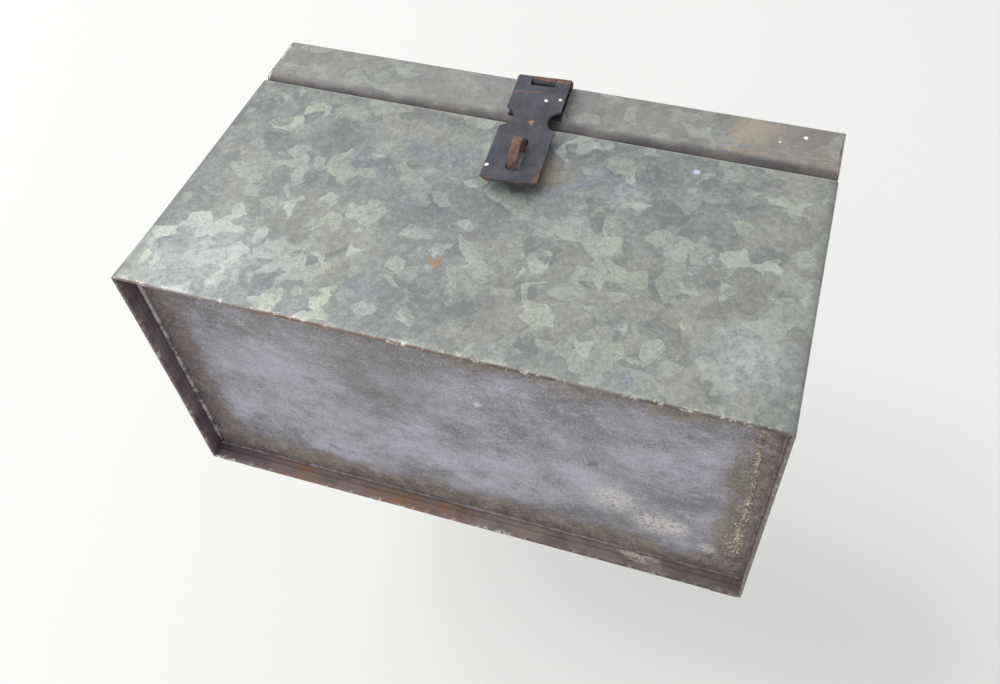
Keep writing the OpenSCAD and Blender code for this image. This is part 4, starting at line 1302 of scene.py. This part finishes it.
make_piece("hasp_fixed_leaf", [hasp_points(g) for g in fixed_leaf_grids()], "lid", [leaf_finish],
           ["hasp_leaf"], edge=0.2 * MM)
leaf_rivets = np.array([[x, 0.0, drop] for x in (-8.9, 8.9) for drop in (9.0, 19.0)]) * MM
leaf_rivets[:, 1] = LID_FACE - LEAF
make_piece("hasp_leaf_domed_rivets",
           rivet_group(hasp_points(leaf_rivets), [0.0, -1.0, 0.0], LEAF + SHEET, 101), "lid",
           [slate_finish], ["hasp_leaf_rivets"], round_columns=True)
hasp_pin = pin_grid(HASP_AXIS, HASP_SIDE, HASP_W, 1.4 * MM, 2.35 * MM, PIN_HEAD_HIGH)
make_piece("hasp_headed_pin", [hasp_pin], "lid", [slate_finish], ["hasp_pin"],
           round_columns=True)

# The swinging strap: flat below its two rolled knuckles, one half at a time either side of
# the middle, because the slot and the window open along that line.
WAIST_DROP, WAIST_R, WAIST_MIDDLE = 32.9 * MM, 8.6 * MM, 17.5 * MM
SLOT_W, SLOT_L, SLOT_CORNER = 6.6 * MM, 23.6 * MM, 2.0 * MM
LIP = 4.0 * MM
LIP_STRAIGHT = 0.7 * MM
CLIPPED_LEFT, CLIPPED_RIGHT = 3.6 * MM, 7.6 * MM
LIP_TURN = math.radians(20.0)
FLAT_END = STRAP_LONG - LIP


def strap_half_width(drop, clip):
    """Half the strap's width at a drop: its full width, less a round waist, less the lip's clipped
    corner."""
    off = np.clip(WAIST_R ** 2 - (drop - WAIST_DROP) ** 2, 0.0, None)
    half = np.minimum(HASP_W / 2.0, WAIST_MIDDLE - np.sqrt(off))
    clipped = np.clip((drop - FLAT_END - LIP_STRAIGHT) / (LIP - LIP_STRAIGHT), 0.0, 1.0) * clip
    return np.where(drop > FLAT_END, HASP_W / 2.0 - clipped, half)


def slot_half_width(drop):
    """Half the slot's width at a drop: straight sides between round corners, 0 above and below it."""
    from_end = SLOT_L / 2.0 - np.abs(drop - STAPLE_DROP)
    in_corner = np.clip(SLOT_CORNER - from_end, 0.0, SLOT_CORNER)
    curve = SLOT_W / 2.0 - SLOT_CORNER + np.sqrt(np.clip(SLOT_CORNER ** 2 - in_corner ** 2, 0.0, None))
    return np.where(from_end >= -1e-9, curve * np.clip(from_end / HAIR, 0.0, 1.0), 0.0)


slot_top, slot_bottom = STAPLE_DROP - SLOT_L / 2.0, STAPLE_DROP + SLOT_L / 2.0
corner_rows = SLOT_CORNER * (1.0 - np.cos(np.linspace(0.0, np.pi / 2.0, 9)))
drops = np.concatenate([
    np.linspace(WINDOW, 24.3 * MM, 8),
    WAIST_DROP + WAIST_R * np.sin(np.linspace(-1.14, 1.14, 23)),
    np.linspace(43.0 * MM, slot_top, 5)[:-1],
    slot_top + np.concatenate([corner_rows[:1], [HAIR], corner_rows[1:]]),
    np.linspace(slot_top + SLOT_CORNER, slot_bottom - SLOT_CORNER, 12)[1:-1],
    slot_bottom - np.concatenate([corner_rows[:1], [HAIR], corner_rows[1:]])[::-1],
    np.linspace(slot_bottom, FLAT_END, 4)[1:],
    [FLAT_END + LIP_STRAIGHT],
    np.linspace(FLAT_END + LIP_STRAIGHT, STRAP_LONG, 5)[1:],
])


def strap_bend(drop):
    """Where the strap's outer face is at a drop, as (out from the axis, drop): straight down, then bent
    outwards along the lip."""
    past = np.clip(drop - FLAT_END, 0.0, None)
    hollow = 0.25 * MM * np.sin(np.pi * np.clip(drop / FLAT_END, 0.0, 1.0))
    return BARREL - hollow * 0.6 + past * math.sin(LIP_TURN), drop - past * (1.0 - math.cos(LIP_TURN))


def strap_grids():
    """Both halves of the strap's flat, its two knuckles rolled up from the flat, and the strips that
    close every open edge."""
    fraction = np.concatenate([np.linspace(0.0, WINDOW_HALF, 6) / (HASP_W / 2.0),
                               np.linspace(WINDOW_HALF, HASP_W / 2.0, 6)[1:] / (HASP_W / 2.0)])
    out, fallen = strap_bend(drops)
    inner_edge = slot_half_width(drops)
    slot_rows = np.where((drops >= slot_top - 1e-9) & (drops <= slot_bottom + 1e-9))[0]
    ear_turn = np.radians(np.linspace(0.0, 290.0, 30))
    ear_drop = np.linspace(WINDOW, 0.0, 6)[:-1]
    ear_out = np.concatenate([np.full(5, BARREL), BARREL * np.cos(ear_turn)])
    ear_fall = np.concatenate([ear_drop, -BARREL * np.sin(ear_turn)])
    ear_thin = np.concatenate([np.full(5, BARREL - STRAP), (BARREL - STRAP) * np.cos(ear_turn)])
    ear_thin_fall = np.concatenate([ear_drop, -(BARREL - STRAP) * np.sin(ear_turn)])
    ear_out[0], ear_thin[0] = out[0], out[0] - STRAP
    grids = []
    for side, clip in ((-1.0, CLIPPED_LEFT), (1.0, CLIPPED_RIGHT)):
        outer_edge = strap_half_width(drops, clip)
        x = side * (inner_edge[:, None] + (outer_edge - inner_edge)[:, None] * fraction)
        front = np.stack(np.broadcast_arrays(x, out[:, None], fallen[:, None]), -1)
        rear = front - [0.0, STRAP, 0.0]
        grids += [front, rear, np.stack([front[:, -1], rear[:, -1]]), np.stack([front[-1], rear[-1]]),
                  np.stack([front[0, :6], rear[0, :6]]),
                  np.stack([front[slot_rows, 0], rear[slot_rows, 0]])]
        ear_x = side * fraction[5:] * HASP_W / 2.0
        ear_front = carried(np.stack([ear_out, ear_fall], -1), ear_x)
        ear_rear = carried(np.stack([ear_thin, ear_thin_fall], -1), ear_x)
        grids += shell(ear_front, ear_rear, "first row")
    return grids


make_piece("hasp_swinging_strap", [on_hasp(g) for g in strap_grids()], "strap", [slate_finish],
           ["hasp_strap"], edge=0.22 * MM)

# ---------------------------------------------------------------------------------------
# The carrying handle: a bail of steel wire that turns in two humped clips, each riveted
# to the top of the lid with two rivets. It folds flat towards the back.
# ---------------------------------------------------------------------------------------
HANDLE_AXIS = np.array(joints["handle_swing"]["pos_m"])
HANDLE_SPAN = 100.0 * MM
HANDLE_REACH = 38.0 * MM
WIRE = 2.4 * MM
GRIP_BEND = 9.0 * MM
STUB_BEND = WIRE + 2.6 * MM
CLIP_W, CLIP_L, CLIP_T = 14.0 * MM, 34.0 * MM, 1.2 * MM
CLIP_X = HANDLE_SPAN / 2.0 + STUB_BEND + 0.8 * MM + CLIP_W / 2.0
CLIP_ROUND = 3.0 * MM
CLIP_GAP = 0.3 * MM
STUB = CLIP_W + 4.0 * MM


def bail_path():
    """The wire's middle line in the handle's own plane, right half: grip, grip bend, arm, outward bend,
    pivot stub."""
    half = HANDLE_SPAN / 2.0
    grip = line((0.0, HANDLE_REACH), (half - GRIP_BEND, HANDLE_REACH), 16)
    bend = arc((half - GRIP_BEND, HANDLE_REACH - GRIP_BEND), GRIP_BEND, 90.0, 0.0, 12)[:-1]
    arm = line((half, HANDLE_REACH - GRIP_BEND), (half, STUB_BEND), 8)
    turn_out = arc((half + STUB_BEND, STUB_BEND), STUB_BEND, 180.0, 270.0, 10)[:-1]
    stub = np.linspace((half + STUB_BEND, 0.0), (half + STUB_BEND + STUB, 0.0), 10)
    right = np.concatenate([grip, bend, arm, turn_out, stub])
    left = (right * [-1.0, 1.0])[::-1][:-1]
    return np.concatenate([left, right])


flat_bail = bail_path()
bail_line = np.stack([flat_bail[:, 0], flat_bail[:, 1], np.zeros_like(flat_bail[:, 0])], -1)
ring = arc((0.0, 0.0), WIRE, 0.0, 360.0, 17)[:-1]
worn_wire = 1.0 + 0.012 * ripples(flat_bail[:, 0], flat_bail[:, 1], 0.012, 111)
bail_rings = swept(bail_line, np.array([0.0, 0.0, 1.0]),
                   ring[None] * worn_wire[:, None, None]) + HANDLE_AXIS
left_ends = [bail_rings[0].mean(0) + (bail_rings[0] - bail_rings[0].mean(0)) * s - [d, 0.0, 0.0]
             for s, d in ((0.5, 0.25 * MM), (0.92, 0.1 * MM))]
right_ends = [bail_rings[-1].mean(0) + (bail_rings[-1] - bail_rings[-1].mean(0)) * s + [d, 0.0, 0.0]
              for s, d in ((0.92, 0.1 * MM), (0.5, 0.25 * MM))]
bail_rings = np.concatenate([np.stack(left_ends), bail_rings, np.stack(right_ends)])
wire_finish = steel_finish("handle_wire", shade(132, 128, 122), shade(92, 86, 80), 0.5)
make_piece("handle_wire_bail", [capped(bail_rings)], "handle", [wire_finish],
           ["handle_bail"], round_columns=True, crease=60.0)


def clip_section(outer_r, rise):
    """A clip's section from front to back as (along, height): flat foot, small fillet, hump over the
    wire, fillet, flat foot."""
    wire_z = HANDLE_AXIS[2] - LID_TOP
    foot = line((-CLIP_L / 2.0, rise), (-outer_r - 0.6 * MM, rise), 8)
    leg = np.array([[-outer_r - 0.2 * MM, rise + 0.15 * MM], [-outer_r, rise + 0.6 * MM]])
    hump = arc((0.0, wire_z), outer_r, 180.0, 90.0, 12)
    near = np.concatenate([foot, leg, hump])
    return np.concatenate([near, (near * [-1.0, 1.0])[::-1][1:]])


for side, name in ((-1, "left"), (1, "right")):
    clip_x = side * CLIP_X + np.linspace(-CLIP_W / 2.0, CLIP_W / 2.0, 9)
    top_path = clip_section(WIRE + CLIP_GAP + CLIP_T, CLIP_T) + [HANDLE_AXIS[1], LID_TOP]
    low_path = clip_section(WIRE + CLIP_GAP, 0.0) + [HANDLE_AXIS[1], LID_TOP]
    clip_top, clip_low = carried(top_path, clip_x), carried(low_path, clip_x)
    round_off = np.clip((np.abs(top_path[:, 0] - HANDLE_AXIS[1]) - CLIP_L / 2.0 + CLIP_ROUND) / CLIP_ROUND,
                        0.0, 1.0)
    narrow = 1.0 - 0.35 * (1.0 - np.sqrt(1.0 - 0.98 * round_off ** 2))
    for grid in (clip_top, clip_low):
        grid[..., 0] = side * CLIP_X + (grid[..., 0] - side * CLIP_X) * narrow[:, None]
    make_piece(f"{name}_handle_humped_clip", shell(clip_top, clip_low), "lid", [hinge_finish],
               [f"{name}_handle_clip"], edge=0.22 * MM)
    places = np.array([[side * CLIP_X, HANDLE_AXIS[1] + y * 12.5 * MM, LID_TOP + CLIP_T] for y in (-1, 1)])
    make_piece(f"{name}_handle_domed_rivets",
               rivet_group(places, [0.0, 0.0, 1.0], CLIP_T + SHEET, 120 + side), "lid", [rivet_finish],
               [f"{name}_handle_rivets"], round_columns=True)
